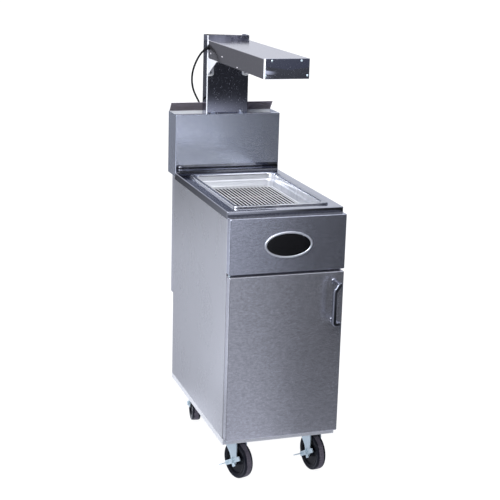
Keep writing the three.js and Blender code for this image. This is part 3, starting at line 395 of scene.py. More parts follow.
def drawn_out(across, along, grain):
    """Texture scales in waves per metre, finer across the grain axis than along it."""
    return tuple(along if axis == grain else across for axis in range(3))


# Sheet: texture scales in waves per metre across and along the grain, and the shares of each in the look
HAIRLINE, STREAKS, MOTTLE = (700.0, 12.0), (120.0, 4.0), (210.0, 90.0)
SMEAR_SCALE, PATCH_SCALE = (6, 6, 4), 30
SPECKLE_GAIN, STREAK_GAIN, SMEAR_GAIN = 10, 4, 2
DARKEST, LIGHTEST = 0.80, 1.20
HAIRLINE_ROUGHNESS, LEAST_ROUGHNESS = 0.035, 0.04
GRAIN_DEPTH = 0.0006  # metres
# Scratches: the stretch of the noise, and for each set its turn in radians and its shift
SCRATCH_STRETCH, SCRATCH_SHIFT, SCRATCH_LEVELS = (24, 640, 260), (1, 1.7, 0.6), (0.69, 0.755)
SCRATCH_SETS = (((0.3, 0.9, 0.5), 0), ((1.1, -0.4, 2.0), 5), ((-0.7, 0.35, -1.1), 9),
                ((0.5, 1.7, 0.2), 14))
SCRATCH_ROUGHNESS, SCRATCH_SHARE, SCRATCH_COLOR = 0.5, 0.6, (0.95, 0.96, 1.0)
# Flecks: cells per metre, the reach of a fleck in its cell, and where the patches of them start
FLECK_CELLS, FLECK_REACH, FLECK_PATCHES = 170, (0.16, 0.08), (0.50, 0.64)
FLECK_ROUGHNESS, FLECK_COLOR = 0.55, (0.97, 0.98, 1.0)
# Haze: its patches, and what it adds to the roughness and the colour
HAZE_PATCHES, HAZE_ROUGHNESS, HAZE_SHARE, HAZE_SHADE = (0.25, 0.62, 0.35, 1.0), 0.30, 0.6, 1.5
# The white of painted highlights, and in metres how soft the edges of painted highlights, painted dark bands
# and the calm part are
PAINTED_LIGHT_WHITE, PAINTED_LIGHT_BLUR, SHADE_BLUR, CALM_BLUR = (0.96, 0.97, 0.99), 0.0008, 0.0006, 0.001


def scratch_marks(paint):
    marks = None
    for turn, seed in SCRATCH_SETS:
        shift = tuple(seed * part for part in SCRATCH_SHIFT)
        line = paint.ramp(paint.noise(SCRATCH_STRETCH, 1.5, 0.5, turn=turn, shift=shift), *SCRATCH_LEVELS)
        marks = line if marks is None else paint.math("MAXIMUM", marks, line)
    return marks


def fleck_marks(paint):
    specks = paint.ramp(paint.cells(FLECK_CELLS), *FLECK_REACH)
    patches = paint.ramp(paint.noise(PATCH_SCALE, detail=3, roughness=0.5), *FLECK_PATCHES)
    return paint.times(specks, patches)


def steel(name, color, rough, grain=0, aniso=0.3, speckle=0.03, streak=0.02, smear=0.06, scratches=0.0,
          sparkle=0.0, bump=0.012, metal=1.0, haze=None, painted_light_below=(), painted_dark_bands=(), calm_above=None):
    """Stainless sheet: fine grain, speckle, wiped smears and, on polished sheet, scratches and flecks.

    Heights are in metres. A dull bloom comes in between the two of haze. Below the limit on every axis of
    its list
    the sheet gets a painted highlight: it is white and less metallic there. Each painted dark band lists two
    heights and the share of the colour that is left between them, as a painted dark reflection. Nothing
    above calm_above has a scratch or fleck.
    """
    paint = Paint(name, Metallic=metal, Anisotropic=aniso)
    where = paint.parts(paint.place)
    fine = paint.noise(drawn_out(*HAIRLINE, grain), detail=2)
    streaks = paint.noise(drawn_out(*STREAKS, grain), detail=2, roughness=0.55)
    grit = paint.noise(drawn_out(*MOTTLE, grain), detail=3, roughness=0.8)
    wiped = paint.noise(SMEAR_SCALE, detail=4, distortion=1.4)
    level = paint.plus(paint.centred(grit, SPECKLE_GAIN * speckle),
                       paint.centred(streaks, STREAK_GAIN * streak))
    level = paint.plus(level, paint.centred(wiped, SMEAR_GAIN * smear))
    share = paint.math("ADD", level, 0.5, clamp=True)
    tone = paint.mix(share, shade(color, DARKEST), shade(color, LIGHTEST))
    roughness = paint.plus(rough, paint.centred(fine, HAIRLINE_ROUGHNESS))
    roughness = paint.plus(roughness, paint.centred(wiped, smear))
    if haze:
        bloom = paint.times(paint.ramp(where["Z"], *haze), paint.ramp(wiped, *HAZE_PATCHES))
        roughness = paint.plus(roughness, paint.times(bloom, HAZE_ROUGHNESS))
        tone = paint.mix(paint.times(bloom, HAZE_SHARE), tone, shade(color, HAZE_SHADE))
    # Painted dark reflections: between each pair of heights the colour keeps only its share.
    for low, high, left in painted_dark_bands:
        inside = paint.times(paint.ramp(where["Z"], low - SHADE_BLUR, low + SHADE_BLUR),
                             paint.ramp(where["Z"], high + SHADE_BLUR, high - SHADE_BLUR))
        tone = paint.mix(inside, tone, shade(color, left))
    # Painted highlight: the sheet is white and less metallic below the limits.
    if painted_light_below:
        inside = 1.0
        for axis, limit in painted_light_below:
            inside = paint.times(inside, paint.ramp(where[axis], limit + PAINTED_LIGHT_BLUR, limit - PAINTED_LIGHT_BLUR))
        tone = paint.mix(inside, tone, PAINTED_LIGHT_WHITE)
        paint.set("Metallic", paint.times(paint.rest(inside), metal))
    marked = 1.0 if calm_above is None else paint.ramp(where["Z"], calm_above, calm_above - CALM_BLUR)
    if scratches:
        marks = paint.times(scratch_marks(paint), marked)
        roughness = paint.plus(roughness, paint.times(marks, SCRATCH_ROUGHNESS * scratches))
        tone = paint.mix(paint.times(marks, SCRATCH_SHARE * scratches), tone, SCRATCH_COLOR)
    if sparkle:
        flecks = paint.times(fleck_marks(paint), marked)
        roughness = paint.plus(roughness, paint.times(flecks, FLECK_ROUGHNESS * sparkle))
        tone = paint.mix(paint.math("MULTIPLY", flecks, sparkle, clamp=True), tone, FLECK_COLOR)
    paint.tangent()
    return paint.finish(tone, paint.math("MAXIMUM", roughness, LEAST_ROUGHNESS), fine, bump, GRAIN_DEPTH)


MARK_LEVELS, MARK_SHARE, MARK_SHADE = (0.62, 0.78), 0.35, 0.55
PLATE_DEPTH, RUBBER_DEPTH = 0.0004, 0.0005  # metres


def bright(name, color, rough, wear=0.05, bump=0.02, metal=1.0):
    """Chrome, zinc and brass: smooth plate with faint clouding and small marks."""
    clouding, dulling = 1.6 * wear, 1.8 * wear
    paint = Paint(name, Metallic=metal)
    cloud = paint.noise(60, detail=4)
    grit = paint.noise(520, detail=2, roughness=0.7)
    tone = paint.mix(cloud, shade(color, 1 - clouding), shade(color, 1 + clouding))
    marks = paint.times(paint.ramp(grit, *MARK_LEVELS), MARK_SHARE)
    tone = paint.mix(marks, tone, shade(color, MARK_SHADE))
    return paint.finish(tone, paint.plus(rough, paint.times(cloud, dulling)), grit, bump, PLATE_DEPTH)


def plastic(name, color, rough, light=1.6, bump=0.12, specular=0.5):
    """Rubber and moulded plastic: a fine matt texture, lighter where it is rubbed."""
    paint = Paint(name, Specular_IOR_Level=specular)
    cloud = paint.noise(38, detail=5)
    grit = paint.noise(700, detail=2, roughness=0.5)
    tone = paint.mix(cloud, shade(color, 2 - light), shade(color, light))
    return paint.finish(tone, paint.plus(rough, paint.centred(grit, 0.25)), grit, bump, RUBBER_DEPTH)


# Stage: each light has a direction, the cosines where its glow starts and is full, the heights that
# limit it, and a colour. The camera sees white instead.
STUDIO = (
    ((0.32, 0.95, 0.15), (0.50, 0.84), ((-0.03, 0.05), (0.75, 0.45)), (0.62, 0.64, 0.69)),  # backdrop
    ((-0.15, 0.1, 1), (0.78, 0.92), (), (2.3, 2.35, 2.5)),  # overhead
    ((-0.85, -0.30, 0.45), (0.84, 0.95), (), (1.2, 1.22, 1.3)),  # key
    ((0.10, -0.70, 0.65), (0.80, 0.95), ((0.36, 0.52),), (0.9, 0.92, 1.0)),  # front
    ((0.95, 0.1, 0.3), (0.70, 0.95), ((0.02, 0.2),), (0.45, 0.47, 0.53)),  # fill
)
AMBIENT = (0.045, 0.050, 0.078)
# Softboxes: place, aim and size in metres, power in watts, colour
SOFTBOXES = {
    "softbox_left": ((-1.15, -0.95, 1.95), (0, -0.1, 0.75), (0.8, 0.9), 24, (0.94, 0.97, 1.0)),
    "softbox_high": ((-0.7, -1.9, 2.7), (0, 0, 0.95), (1.5, 0.9), 26, (0.96, 0.98, 1.0)),
}
FLOOR_HALF, FLOOR_DROP = 30, 0.0004
PAPER, PAPER_ROUGHNESS, PAPER_GLOW, GLOW_SHARE = (0.86, 0.87, 0.88, 1), 0.9, 1.16, 0.82
# The floor as the metal sees it, in metres. A ramp has its start, its end and the levels there. The lit
# wedge widens ahead, where the part faces: its middle and width each have a slope and a start.
WEDGE_MIDDLE, WEDGE_WIDTH = (0.36, -0.10), (0.16, 0.10)
WEDGE_RIGHT, WEDGE_LEFT = (-0.65, 0.35), (-2.4, -1.3)
LIT_START, LIT_END = (3.4, 4.8, 0.40, 1.15), (8.2, 6.9)
BAND_START, BAND_END, BAND_DEPTH = (3.7, 3.82), (4.42, 4.28), 0.95
SHADE_LEVEL, SPOT_PLACE, SPOT_EDGE = (2.6, 0.6, 0.04, 0.16), (0.86, -1.9), (0.25, 0.5, 0.12, 1.0)
REAR_START, REAR_LEVEL, REAR_RIGHT = (0.1, 0.7), (4.8, 2.4, 0.13, 0.52), (0.4, 1.2, 1.0, 0.62)
LEFT_FROM, LEFT_WAY, LEFT_LEVEL, LEFT_REACH = (0, -0.1, 0), (-0.97, 0.22, 0), 1.18, (0.3, 1.5)
LEFT_SPREAD, LEFT_MIDDLE = (0.68, 0.86), (0.90, 0.985, 1.0, 0.5)
PART_HALF, UNDER_LEVEL = (0.26, 0.48), (0.5, 1.4, 0.35, 1.0)
NEAR_AHEAD, NEAR_ROUND, NEAR_LEVEL = (0.72, 0.52), (1.9, 1.4), 0.65
FLOOR_COLOR = (0.90, 0.94, 1.08, 1)


def make_world(scene):
    world = bpy.data.worlds.new("studio")
    scene.world = world
    world.use_nodes = True
    sky = Nodes(world.node_tree)
    way = sky.vector("NORMALIZE", sky.node("ShaderNodeTexCoord").outputs["Generated"])
    up = sky.parts(way)["Z"]
    total = (0, 0, 0)
    for direction, glow, limits, color in STUDIO:
        mask = sky.ramp(sky.vector("DOT_PRODUCT", way, tuple(Vector(direction).normalized())), *glow)
        for limit in limits:
            mask = sky.times(mask, sky.ramp(up, *limit))
        total = sky.vector("ADD", total, sky.vector("SCALE", color, mask))
    total = sky.vector("ADD", total, AMBIENT)
    seen = sky.mix(sky.node("ShaderNodeLightPath").outputs["Is Camera Ray"], total, (1, 1, 1))
    light = sky.node("ShaderNodeBackground", Color=seen)
    sky.node("ShaderNodeOutputWorld", Surface=light.outputs[0])


def light_ahead(paint, x, y):
    """A lit wedge ahead with a dark band across it, and a darker floor beside it with a dark spot."""
    ahead = paint.math("MAXIMUM", paint.times(y, -1.0), 0.0)
    middle = paint.plus(paint.times(ahead, WEDGE_MIDDLE[0]), WEDGE_MIDDLE[1])
    width = paint.plus(paint.times(ahead, WEDGE_WIDTH[0]), WEDGE_WIDTH[1])
    aside = paint.math("DIVIDE", paint.math("SUBTRACT", x, middle), width)
    wedge = paint.times(paint.ramp(aside, *WEDGE_LEFT), paint.rest(paint.ramp(aside, *WEDGE_RIGHT)))
    lit = paint.times(paint.ramp(ahead, *LIT_START), paint.ramp(ahead, *LIT_END))
    band = paint.times(paint.ramp(ahead, *BAND_START), paint.ramp(ahead, *BAND_END))
    lit = paint.times(lit, paint.rest(paint.times(band, BAND_DEPTH)))
    off_x, off_y = (paint.math("SUBTRACT", value, spot) for value, spot in zip((x, y), SPOT_PLACE))
    off = paint.math("SQRT", paint.plus(paint.times(off_x, off_x), paint.times(off_y, off_y)))
    dark = paint.times(paint.ramp(ahead, *SHADE_LEVEL), paint.ramp(off, *SPOT_EDGE))
    return ahead, paint.plus(paint.times(lit, wedge), dark)


def light_left(paint):
    """A lit stretch that runs off to the left."""
    place = paint.vector("SUBTRACT", paint.place, LEFT_FROM)
    leftward = paint.vector("DOT_PRODUCT", paint.vector("NORMALIZE", place), LEFT_WAY)
    lit = paint.times(paint.ramp(leftward, *LEFT_SPREAD),
                      paint.ramp(paint.vector("LENGTH", place), *LEFT_REACH))
    return paint.times(paint.times(lit, paint.ramp(leftward, *LEFT_MIDDLE)), LEFT_LEVEL)


def floor_light(paint):
    """How bright the metal sees each place of the floor."""
    where = paint.parts(paint.place)
    x, y = where["X"], where["Y"]
    ahead, level = light_ahead(paint, x, y)
    behind = paint.ramp(y, *REAR_START)
    rear = paint.times(paint.ramp(y, *REAR_LEVEL), paint.ramp(x, *REAR_RIGHT))
    level = paint.plus(paint.times(level, paint.rest(behind)), paint.times(rear, behind))
    level = paint.plus(level, light_left(paint))
    spread = paint.vector("MULTIPLY", paint.place, (1 / PART_HALF[0], 1 / PART_HALF[1], 0))
    away = paint.vector("LENGTH", spread)
    level = paint.times(level, paint.ramp(away, *UNDER_LEVEL))
    near = paint.times(paint.ramp(ahead, *NEAR_AHEAD), paint.ramp(away, *NEAR_ROUND))
    return paint.plus(level, paint.times(near, NEAR_LEVEL))


def make_floor():
    """A near-white sheet to the camera, with lit and dark places that only the metal sees."""
    bm = bmesh.new()
    bmesh.ops.create_grid(bm, x_segments=1, y_segments=1, size=FLOOR_HALF)
    mesh = bpy.data.meshes.new("floor")
    bm.to_mesh(mesh)
    bm.free()
    floor = add_object("floor", mesh)
    floor.location.z = -FLOOR_DROP
    paint = Paint("floor_paper", Base_Color=PAPER, Roughness=PAPER_ROUGHNESS)
    mesh.materials.append(paint.material)
    reflected = paint.node("ShaderNodeEmission", Color=FLOOR_COLOR, Strength=floor_light(paint))
    white = paint.node("ShaderNodeEmission", Color=(1, 1, 1, 1), Strength=PAPER_GLOW)
    shown = paint.blend(GLOW_SHARE, paint.shader, white)
    camera_ray = paint.node("ShaderNodeLightPath").outputs["Is Camera Ray"]
    paint.join(paint.blend(camera_ray, reflected, shown).outputs[0], paint.out.inputs["Surface"])


def make_softbox(name, at, aim, size, power, color):
    data = bpy.data.lights.new(name, "AREA")
    data.shape = "RECTANGLE"
    data.size, data.size_y = size
    data.energy = power
    data.color = color
    lamp = add_object(name, data)
    lamp.location = at
    lamp.rotation_euler = (Vector(aim) - Vector(at)).to_track_quat("-Z", "Y").to_euler()
    lamp.visible_camera = False


def make_stage():
    scene = bpy.context.scene
    scene.view_settings.view_transform = "Standard"
    make_world(scene)
    make_floor()
    for name, settings in SOFTBOXES.items():
        make_softbox(name, *settings)


# Finely made pieces, in the CAD source's millimetres
def rounded_ring(centre, u, v, half_u, half_v, corner, steps=4):
    """A rounded rectangle along u and v round a centre in metres; sizes in millimetres."""
    ring = []
    for quarter, (side_u, side_v) in enumerate(((1, 1), (-1, 1), (-1, -1), (1, -1))):
        for step in range(steps + 1):
            angle = math.pi / 2 * (quarter + step / steps)
            ring.append(centre + mm(side_u * (half_u - corner) + corner * math.cos(angle)) * u
                        + mm(side_v * (half_v - corner) + corner * math.sin(angle)) * v)
    return ring


def rounded_path(corners, radii, steps):
    """Points of a line in a plane whose corners are turned into arcs, one radius each."""
    path = [Vector(corners[0])]
    for before, corner, after, radius in zip(corners, corners[1:], corners[2:], radii):
        corner = Vector(corner)
        back = (Vector(before) - corner).normalized()
        on = (Vector(after) - corner).normalized()
        reach = radius * math.tan((math.pi - back.angle(on)) / 2)
        start, end = corner + back * reach, corner + on * reach
        for i in range(steps + 1):
            share = i / steps
            path.append(start.lerp(corner, share).lerp(corner.lerp(end, share), share))
    path.append(Vector(corners[-1]))
    return path


PAN_TOP, PAN_MIDDLE, PAN_HALF = 949.0, (0, 303.5), (162, 263.5)
# Rows of the pan's wall: inset from its outer edge, corner radius, height from its top
PAN_INSIDE = [(0, 10, -5.7), (0, 10, -2.4), (0.2, 10, -1.3), (0.75, 10, -0.5), (1.7, 10, 0), (4.2, 12, 0),
              (5.2, 13, -0.35), (10.6, 21, -0.35), (12.2, 24, -0.55), (13.5, 26, -1.3), (14.4, 26.8, -2.6),
              (15.0, 26.8, -4.4), (16.4, 26.8, -20.4), (16.8, 26.8, -22.6), (18.0, 26.4, -24.2),
              (18.9, 26.2, -26.0), (19.3, 26, -28.6), (22.4, 26, -84)]
PAN_OUTSIDE = [(20.9, 27, -80), (18.1, 27, -28.9), (17.6, 27, -26.6), (16.7, 27, -25), (15.5, 27.6, -23.4),
               (15.1, 27.8, -21), (13.9, 28, -5), (13.3, 27.6, -3), (11.8, 24, -1.75), (2.6, 10, -1.6),
               (1.5, 9, -2.2), (1.2, 8.8, -3.2), (1.2, 8.8, -5.7)]
# Bends into the floor: inset, radius, corner radius, and angles in degrees
BEND_OUTSIDE = (21.4, 14, 27, (90, 70, 50, 30, 10))
BEND_INSIDE = (22.6, 12.8, 26, (0, 15, 30, 45, 60, 75, 90))
BEND_TOP, BEND_TIGHTENING = -86, 12
# The flat of its floor, inside and outside: half sizes, corner radius, height from its top
PAN_FLOOR_INSIDE, PAN_FLOOR_OUTSIDE = (60, 150, 12, -99.0), (60, 150, 12, -100)


def floor_bend(inset, radius, corner, angles):
    """Rows of the bend from the pan's wall into its floor."""
    return [(inset + radius * (1 - math.cos(a)), corner - BEND_TIGHTENING * math.sin(a) ** 2,
             BEND_TOP - radius * math.sin(a)) for a in map(math.radians, angles)]


def make_pan(material):
    rows = [*floor_bend(*BEND_OUTSIDE), *PAN_OUTSIDE, *PAN_INSIDE, *floor_bend(*BEND_INSIDE)]
    sizes = [PAN_FLOOR_OUTSIDE, *[(PAN_HALF[0] - inset, PAN_HALF[1] - inset, corner, z)
                                  for inset, corner, z in rows], PAN_FLOOR_INSIDE]
    bm = bmesh.new()
    loft(bm, [rounded_ring(cad(*PAN_MIDDLE, PAN_TOP + z), ACROSS, BACK, half_x, half_y, corner, 9)
              for half_x, half_y, corner, z in sizes])
    stand_for("food_pan", bm, material, grain=1, angle=50)


# Pan and grate as painted, in metres: where the painted dark reflection on the pan's right side comes in,
# where the painted shade under the grate starts, and where the rim is
PAN_DARK_REFLECTION_X, PAN_SHADE, PAN_RIM = (0.100, 0.152), (0.899, 0.888), (0.940, 0.946, 0.57, 1.0)
PAN_DARK_REFLECTION_SHARE, SHADE_WAVER = 0.75, 0.006
WIRE_SHADE = (0.9030, 0.9014)


def pan_steel():
    """Pan steel, less metallic below its rim, painted dark as shade under the grate and as a dark reflection
    on the right.
    """
    paint = Paint("pan_sheet", Anisotropic=0.2)
    where = paint.parts(paint.place)
    cloud = paint.noise((30, 30, 18), detail=4, distortion=0.8)
    grit = paint.noise(300, detail=2, roughness=0.7)
    tone = paint.mix(cloud, (0.82, 0.83, 0.86), (0.98, 0.98, 0.99))
    tone = paint.mix(paint.ramp(grit, 0.60, 0.75, 0.0, 0.25), tone, (0.60, 0.61, 0.65))
    # Painted dark reflection: the pan's right side is darkened, broken up by the cloud.
    right = paint.times(paint.ramp(where["X"], *PAN_DARK_REFLECTION_X), paint.ramp(cloud, 0.2, 0.8, 1.0, 0.6))
    tone = paint.mix(paint.times(right, PAN_DARK_REFLECTION_SHARE), tone, (0.30, 0.32, 0.38))
    level = paint.plus(where["Z"], paint.centred(cloud, SHADE_WAVER))
    tone = paint.mix(paint.ramp(level, *PAN_SHADE), tone, (0.055, 0.056, 0.062))
    paint.set("Metallic", paint.ramp(where["Z"], *PAN_RIM))
    paint.tangent()
    return paint.finish(tone, paint.ramp(cloud, 0.3, 0.7, 0.12, 0.24), grit, 0.02, PLATE_DEPTH)


def grate_chrome():
    """Bright wire, dull on the cross wires that lie in the shade under the bars."""
    paint = Paint("wire_chrome", Metallic=0.5)
    height = paint.parts(paint.place)["Z"]
    cloud = paint.noise(60, detail=4)
    tone = paint.mix(cloud, (0.86, 0.87, 0.88), (0.99, 0.99, 0.99))
    paint.set("Base Color", paint.mix(paint.ramp(height, *WIRE_SHADE), tone, (0.10, 0.10, 0.11)))
    paint.set("Roughness", paint.ramp(cloud, 0.3, 0.7, 0.16, 0.26))
    return paint.material


GRATE_TOP, BAR_RADIUS, WIRE_RADIUS, WIRE_SINK = 905.0, 1.6, 2.5, 0.6
BARS, BAR_PITCH, BAR_HALF = 20, 13.2, 239
RAIL_X, RAIL_HALF = 135.5, 223
CROSS_HALF, CROSS_SHARES = 218, (-1, -0.34, 0.34, 1)
LEG_X, LEG_FOOT = 110, 850.5


def make_grate(material):
    bm = bmesh.new()
    middle_y = PAN_MIDDLE[1]
    bar_z = GRATE_TOP - BAR_RADIUS
    cross_z = GRATE_TOP - 2 * BAR_RADIUS - WIRE_RADIUS + WIRE_SINK
    for i in range(BARS):
        x = (i - (BARS - 1) / 2) * BAR_PITCH
        round_rod(bm, (x, middle_y - BAR_HALF, bar_z), (x, middle_y + BAR_HALF, bar_z), BAR_RADIUS, 10)
    for x in (-RAIL_X, RAIL_X):
        ends = ((x, middle_y + half, bar_z - WIRE_SINK) for half in (-RAIL_HALF, RAIL_HALF))
        round_rod(bm, *ends, WIRE_RADIUS, 14)
    for share in CROSS_SHARES:
        y = middle_y + share * CROSS_HALF
        round_rod(bm, (-RAIL_X, y, cross_z), (RAIL_X, y, cross_z), WIRE_RADIUS, 14)
    for x in (-LEG_X, LEG_X):
        for y in (middle_y - CROSS_HALF, middle_y + CROSS_HALF):
            round_rod(bm, (x, y, LEG_FOOT), (x, y, cross_z), WIRE_RADIUS, 14)
    stand_for("drain_grate", bm, material)


HANDLE_X, GRIP_X, HANDLE_Y, HANDLE_HALF, HANDLE_CORNER = 162, 146.5, -83, 6.5, 1.1
HANDLE_TOP, HANDLE_FOOT, GRIP_TOP, ELBOWS = 704, 572, 683, (16, 7.5)
FOOT_Y = -35.3
# The arm's end: place, half width and corner radius
ARM_END = [(-88.4, 6.5, 1.1), (-89.0, 6.35, 1.05), (-89.3, 6.1, 1.0), (-89.45, 5.6, 0.9)]
FOOT_PROFILE = [(0, 0), (9.5, 0), (9.5, 1.5), (9.2, 2.1), (8.5, 2.5), (0, 2.5)]


def make_handle(material):
    """A square bar with softened edges on two arms that end in round feet."""
    bm = bmesh.new()
    corners = ((HANDLE_X, HANDLE_TOP), (GRIP_X, GRIP_TOP), (GRIP_X, HANDLE_FOOT), (HANDLE_X, HANDLE_FOOT))
    path = rounded_path([(x, HANDLE_Y, z) for x, z in corners], ELBOWS, 8)
    rings = []
    for i, point in enumerate(path):
        run = (path[min(i + 1, len(path) - 1)] - path[max(i - 1, 0)]).normalized()
        rings.append(rounded_ring(cad(*point), BACK.cross(run).normalized(), BACK,
                                  HANDLE_HALF, HANDLE_HALF, HANDLE_CORNER))
    loft(bm, rings)
    for z in (HANDLE_TOP, HANDLE_FOOT):
        loft(bm, [rounded_ring(cad(HANDLE_X, y, z), ACROSS, UP, half, half, corner)
                  for y, half, corner in [(FOOT_Y, HANDLE_HALF, HANDLE_CORNER), *ARM_END]])
        lathe(bm, FOOT_PROFILE, cad(HANDLE_X, FOOT_Y, z), -BACK, 40)
    stand_for("door_handle", bm, material, angle=50)


BADGE_HEIGHT, BADGE_HALF, FIELD_HALF, OVAL_STEPS = 834.75, (81, 43.5), (74.2, 36.7), 96
# The ring's section as inset and place, and the field's as half width and place
BADGE_RING = [(0, -33.6), (0, -36.0), (0.35, -36.9), (1.1, -37.5), (2.0, -37.6), (4.9, -37.6),
              (5.6, -37.4), (6.2, -36.8), (6.5, -35.9), (6.5, -33.6)]
BADGE_FIELD = [(74.2, -33.6), (74.2, -35.2), (73.9, -35.5), (73, -35.6), (60, -35.75), (40, -35.9),
               (20, -35.97)]


def oval(half_x, half_z, y):
    return circle(cad(0, y, BADGE_HEIGHT), half_x * ACROSS, half_z * UP, 1, OVAL_STEPS)


def make_badge(ring_material, field_material):
    bm = bmesh.new()
    rings = [oval(BADGE_HALF[0] - inset, BADGE_HALF[1] - inset, y) for inset, y in BADGE_RING]
    loft(bm, rings, closed=True)
    stand_for("badge_ring", bm, ring_material)
    bm = bmesh.new()
    loft(bm, [oval(half, FIELD_HALF[1] * half / FIELD_HALF[0], y) for half, y in BADGE_FIELD])
    stand_for("badge_plate", bm, field_material)


# A screw's head in shares of its radius and height, above a foot that is sunk in
SCREW_SUNK = 0.6
HEAD_SHARES = [(1, 0.25), (0.93, 0.55), (0.74, 0.8), (0.48, 0.95), (0.34, 0.97), (0.26, 0.7), (0.12, 0.5),
               (0, 0.45)]


def truss_screw(bm, place, axis, radius=3.6, height=2.0):
    head = [(across * radius, along * height) for across, along in HEAD_SHARES]
    lathe(bm, [(0, -SCREW_SUNK), (radius, -SCREW_SUNK), *head], place, axis, 24)


LAMP_HALF, LAMP_HEIGHT = (76, 32), 1384
END_PLATES = {"lamp_end_plate_front": (40.7, 42.2), "lamp_end_plate_rear": (655.4, 653.9)}
END_SCREWS = ((-49, 1409), (49, 1409), (-70, 1363), (70, 1363))
# The plate's rounded edge: inset, depth and corner radius
PLATE_ROUNDING, PLATE_CORNER = ((0.7, 0, 1.2), (0.2, 0.2, 1.4), (0, 0.7, 1.5)), 1.5
# Fasteners of the lamp's left wall: place along it, height and radius
RIVETS, RIVET_HEIGHT = ((620, 1371.6, 2.6), (485, 1374, 2.2), (313, 1357, 2.4)), 1.3


def make_end_plate(node, material):
    bm = bmesh.new()
    outer, inner = END_PLATES[node]
    inward = math.copysign(1, inner - outer)
    levels = [(inset, outer + depth * inward, corner) for inset, depth, corner in PLATE_ROUNDING]
    levels.append((0, inner, PLATE_CORNER))
    loft(bm, [rounded_ring(cad(0, y, LAMP_HEIGHT), ACROSS, UP, LAMP_HALF[0] - inset, LAMP_HALF[1] - inset,
                           corner) for inset, y, corner in levels])
    stand_for(node, bm, material, angle=50)


def make_end_screws(material):
    bm = bmesh.new()
    for x, z in END_SCREWS:
        truss_screw(bm, cad(x, END_PLATES["lamp_end_plate_front"][0], z), -BACK)
    add_fasteners("lamp_end_screws", bm, "lamp_end_plate_front", material)


def make_rivets(material):
    bm = bmesh.new()
    for y, z, radius in RIVETS:
        truss_screw(bm, cad(-LAMP_HALF[0], y, z), -ACROSS, radius, RIVET_HEIGHT)
    add_fasteners("lamp_rivets", bm, "lamp_housing", material)


ELEMENT_START, ELEMENT_HEIGHT = 58.7, 1376
ELEMENT_PROFILE = [(0, 0), (2.0, 0), (2.4, 0.4), (2.4, 14), (4.1, 14), (4.5, 14.5), (4.5, 564.2),
                   (4.1, 564.7), (2.4, 564.7), (2.4, 578.3), (2.0, 578.7), (0, 578.7)]
GUARD_X, GUARD_START, GUARD_END, GUARD_HEIGHT = 60.2, 42.5, 653.6, 1353.5
GUARD_RAIL, GUARD_WIRE, GUARD_WIRES = 1.5, 1.2, 13


def make_lamp_inside(element_material, guard_material):
    bm = bmesh.new()
    lathe(bm, ELEMENT_PROFILE, cad(0, ELEMENT_START, ELEMENT_HEIGHT), BACK, 24)
    stand_for("heater_element", bm, element_material)
    bm = bmesh.new()
    for x in (-GUARD_X, GUARD_X):
        round_rod(bm, (x, GUARD_START, GUARD_HEIGHT), (x, GUARD_END, GUARD_HEIGHT), GUARD_RAIL, 12)
    pitch = (GUARD_END - GUARD_START) / GUARD_WIRES
    for i in range(GUARD_WIRES):
        y = GUARD_START + (i + 0.5) * pitch
        round_rod(bm, (-GUARD_X, y, GUARD_HEIGHT), (GUARD_X, y, GUARD_HEIGHT), GUARD_WIRE, 12)
    stand_for("element_guard", bm, guard_material)


GLAND_PLACE, BOOT_WAY = (-80.3, 640.5, 1391.5), (-0.74, 0.2, -0.64)
GLAND_PROFILE = [(0, 0), (7.4, 0), (8.6, 0.3), (9.3, 1), (9.5, 1.8), (9.5, 3.7), (7, 3.7), (7, 6.1),
                 (9.4, 6.1), (9.4, 8.6), (0, 8.6)]
BOOT_START, BOOT_LENGTH, BOOT_RADIUS, BOOT_TAPER, BOOT_STEPS = -1.5, 23.7, 6.0, 1.45, 60
RIB_HEIGHT, RIB_PITCH, RIBBED_SHARES = 0.32, 3.2, (0.12, 0.9)


def make_relief(material):
    """Gland in the lamp's side with a ribbed boot that tapers towards the cord."""
    bm = bmesh.new()
    at = cad(*GLAND_PLACE)
    lathe(bm, GLAND_PROFILE, at, ACROSS, 36)
    run = Vector(BOOT_WAY).normalized()
    shares = [i / BOOT_STEPS for i in range(BOOT_STEPS + 1)]
    line = [at + run * mm(BOOT_START + BOOT_LENGTH * share) for share in shares]
    radii = []
    for share in shares:
        wave = math.sin(2 * math.pi * BOOT_LENGTH * share / RIB_PITCH)
        rib = RIB_HEIGHT * wave if RIBBED_SHARES[0] < share < RIBBED_SHARES[1] else 0
        radii.append(BOOT_RADIUS - BOOT_TAPER * share + rib)
    sweep(bm, line, radii, 28)
    stand_for("strain_relief", bm, material, angle=60)


PLUG_END, PIN_START = (94.7, 668, 13), (44.4, 668, 7)
PLUG_TIP = [(0, 0), (4.3, 0), (4.9, 0.4), (5.0, 1.4)]
PLUG_GRIP = [(6.5, 11.8), (8.2, 12.6), (10.8, 14.0), (12.3, 16.2), (12.9, 19), (13, 22), (13, 47.6),
             (12.7, 48.9), (11.8, 49.8), (10.6, 50), (0, 50)]
PIN_PROFILE = [(0, 0), (2.4, 0), (2.4, 16.2), (2.1, 17.8), (1.3, 18.8), (0, 19)]
PLUG_RIBS, PLUG_RIB_START, PLUG_RIB_PITCH = 4, 1.8, 2.5
# The groove and the rib beside it: radius, and how much each is wider than the one before
GROOVE, RIB, RIB_EDGES = (5.2, 0.25), (5.9, 0.2), (0, 0.4, 1.5, 1.9)


def make_plug(body_material, pin_material):
    bm = bmesh.new()
    profile = list(PLUG_TIP)
    for i in range(PLUG_RIBS):
        groove, rib = (radius + growth * i for radius, growth in (GROOVE, RIB))
        start = PLUG_RIB_START + PLUG_RIB_PITCH * i
        profile += [(radius, start + edge) for radius, edge in zip((groove, rib, rib, groove), RIB_EDGES)]
    lathe(bm, [*profile, *PLUG_GRIP], cad(*PLUG_END), -ACROSS, 48)
    stand_for("plug_body", bm, body_material, angle=45)
    bm = bmesh.new()
    lathe(bm, PIN_PROFILE, cad(*PIN_START), -ACROSS, 24)
    stand_for("plug_ground_pin", bm, pin_material)


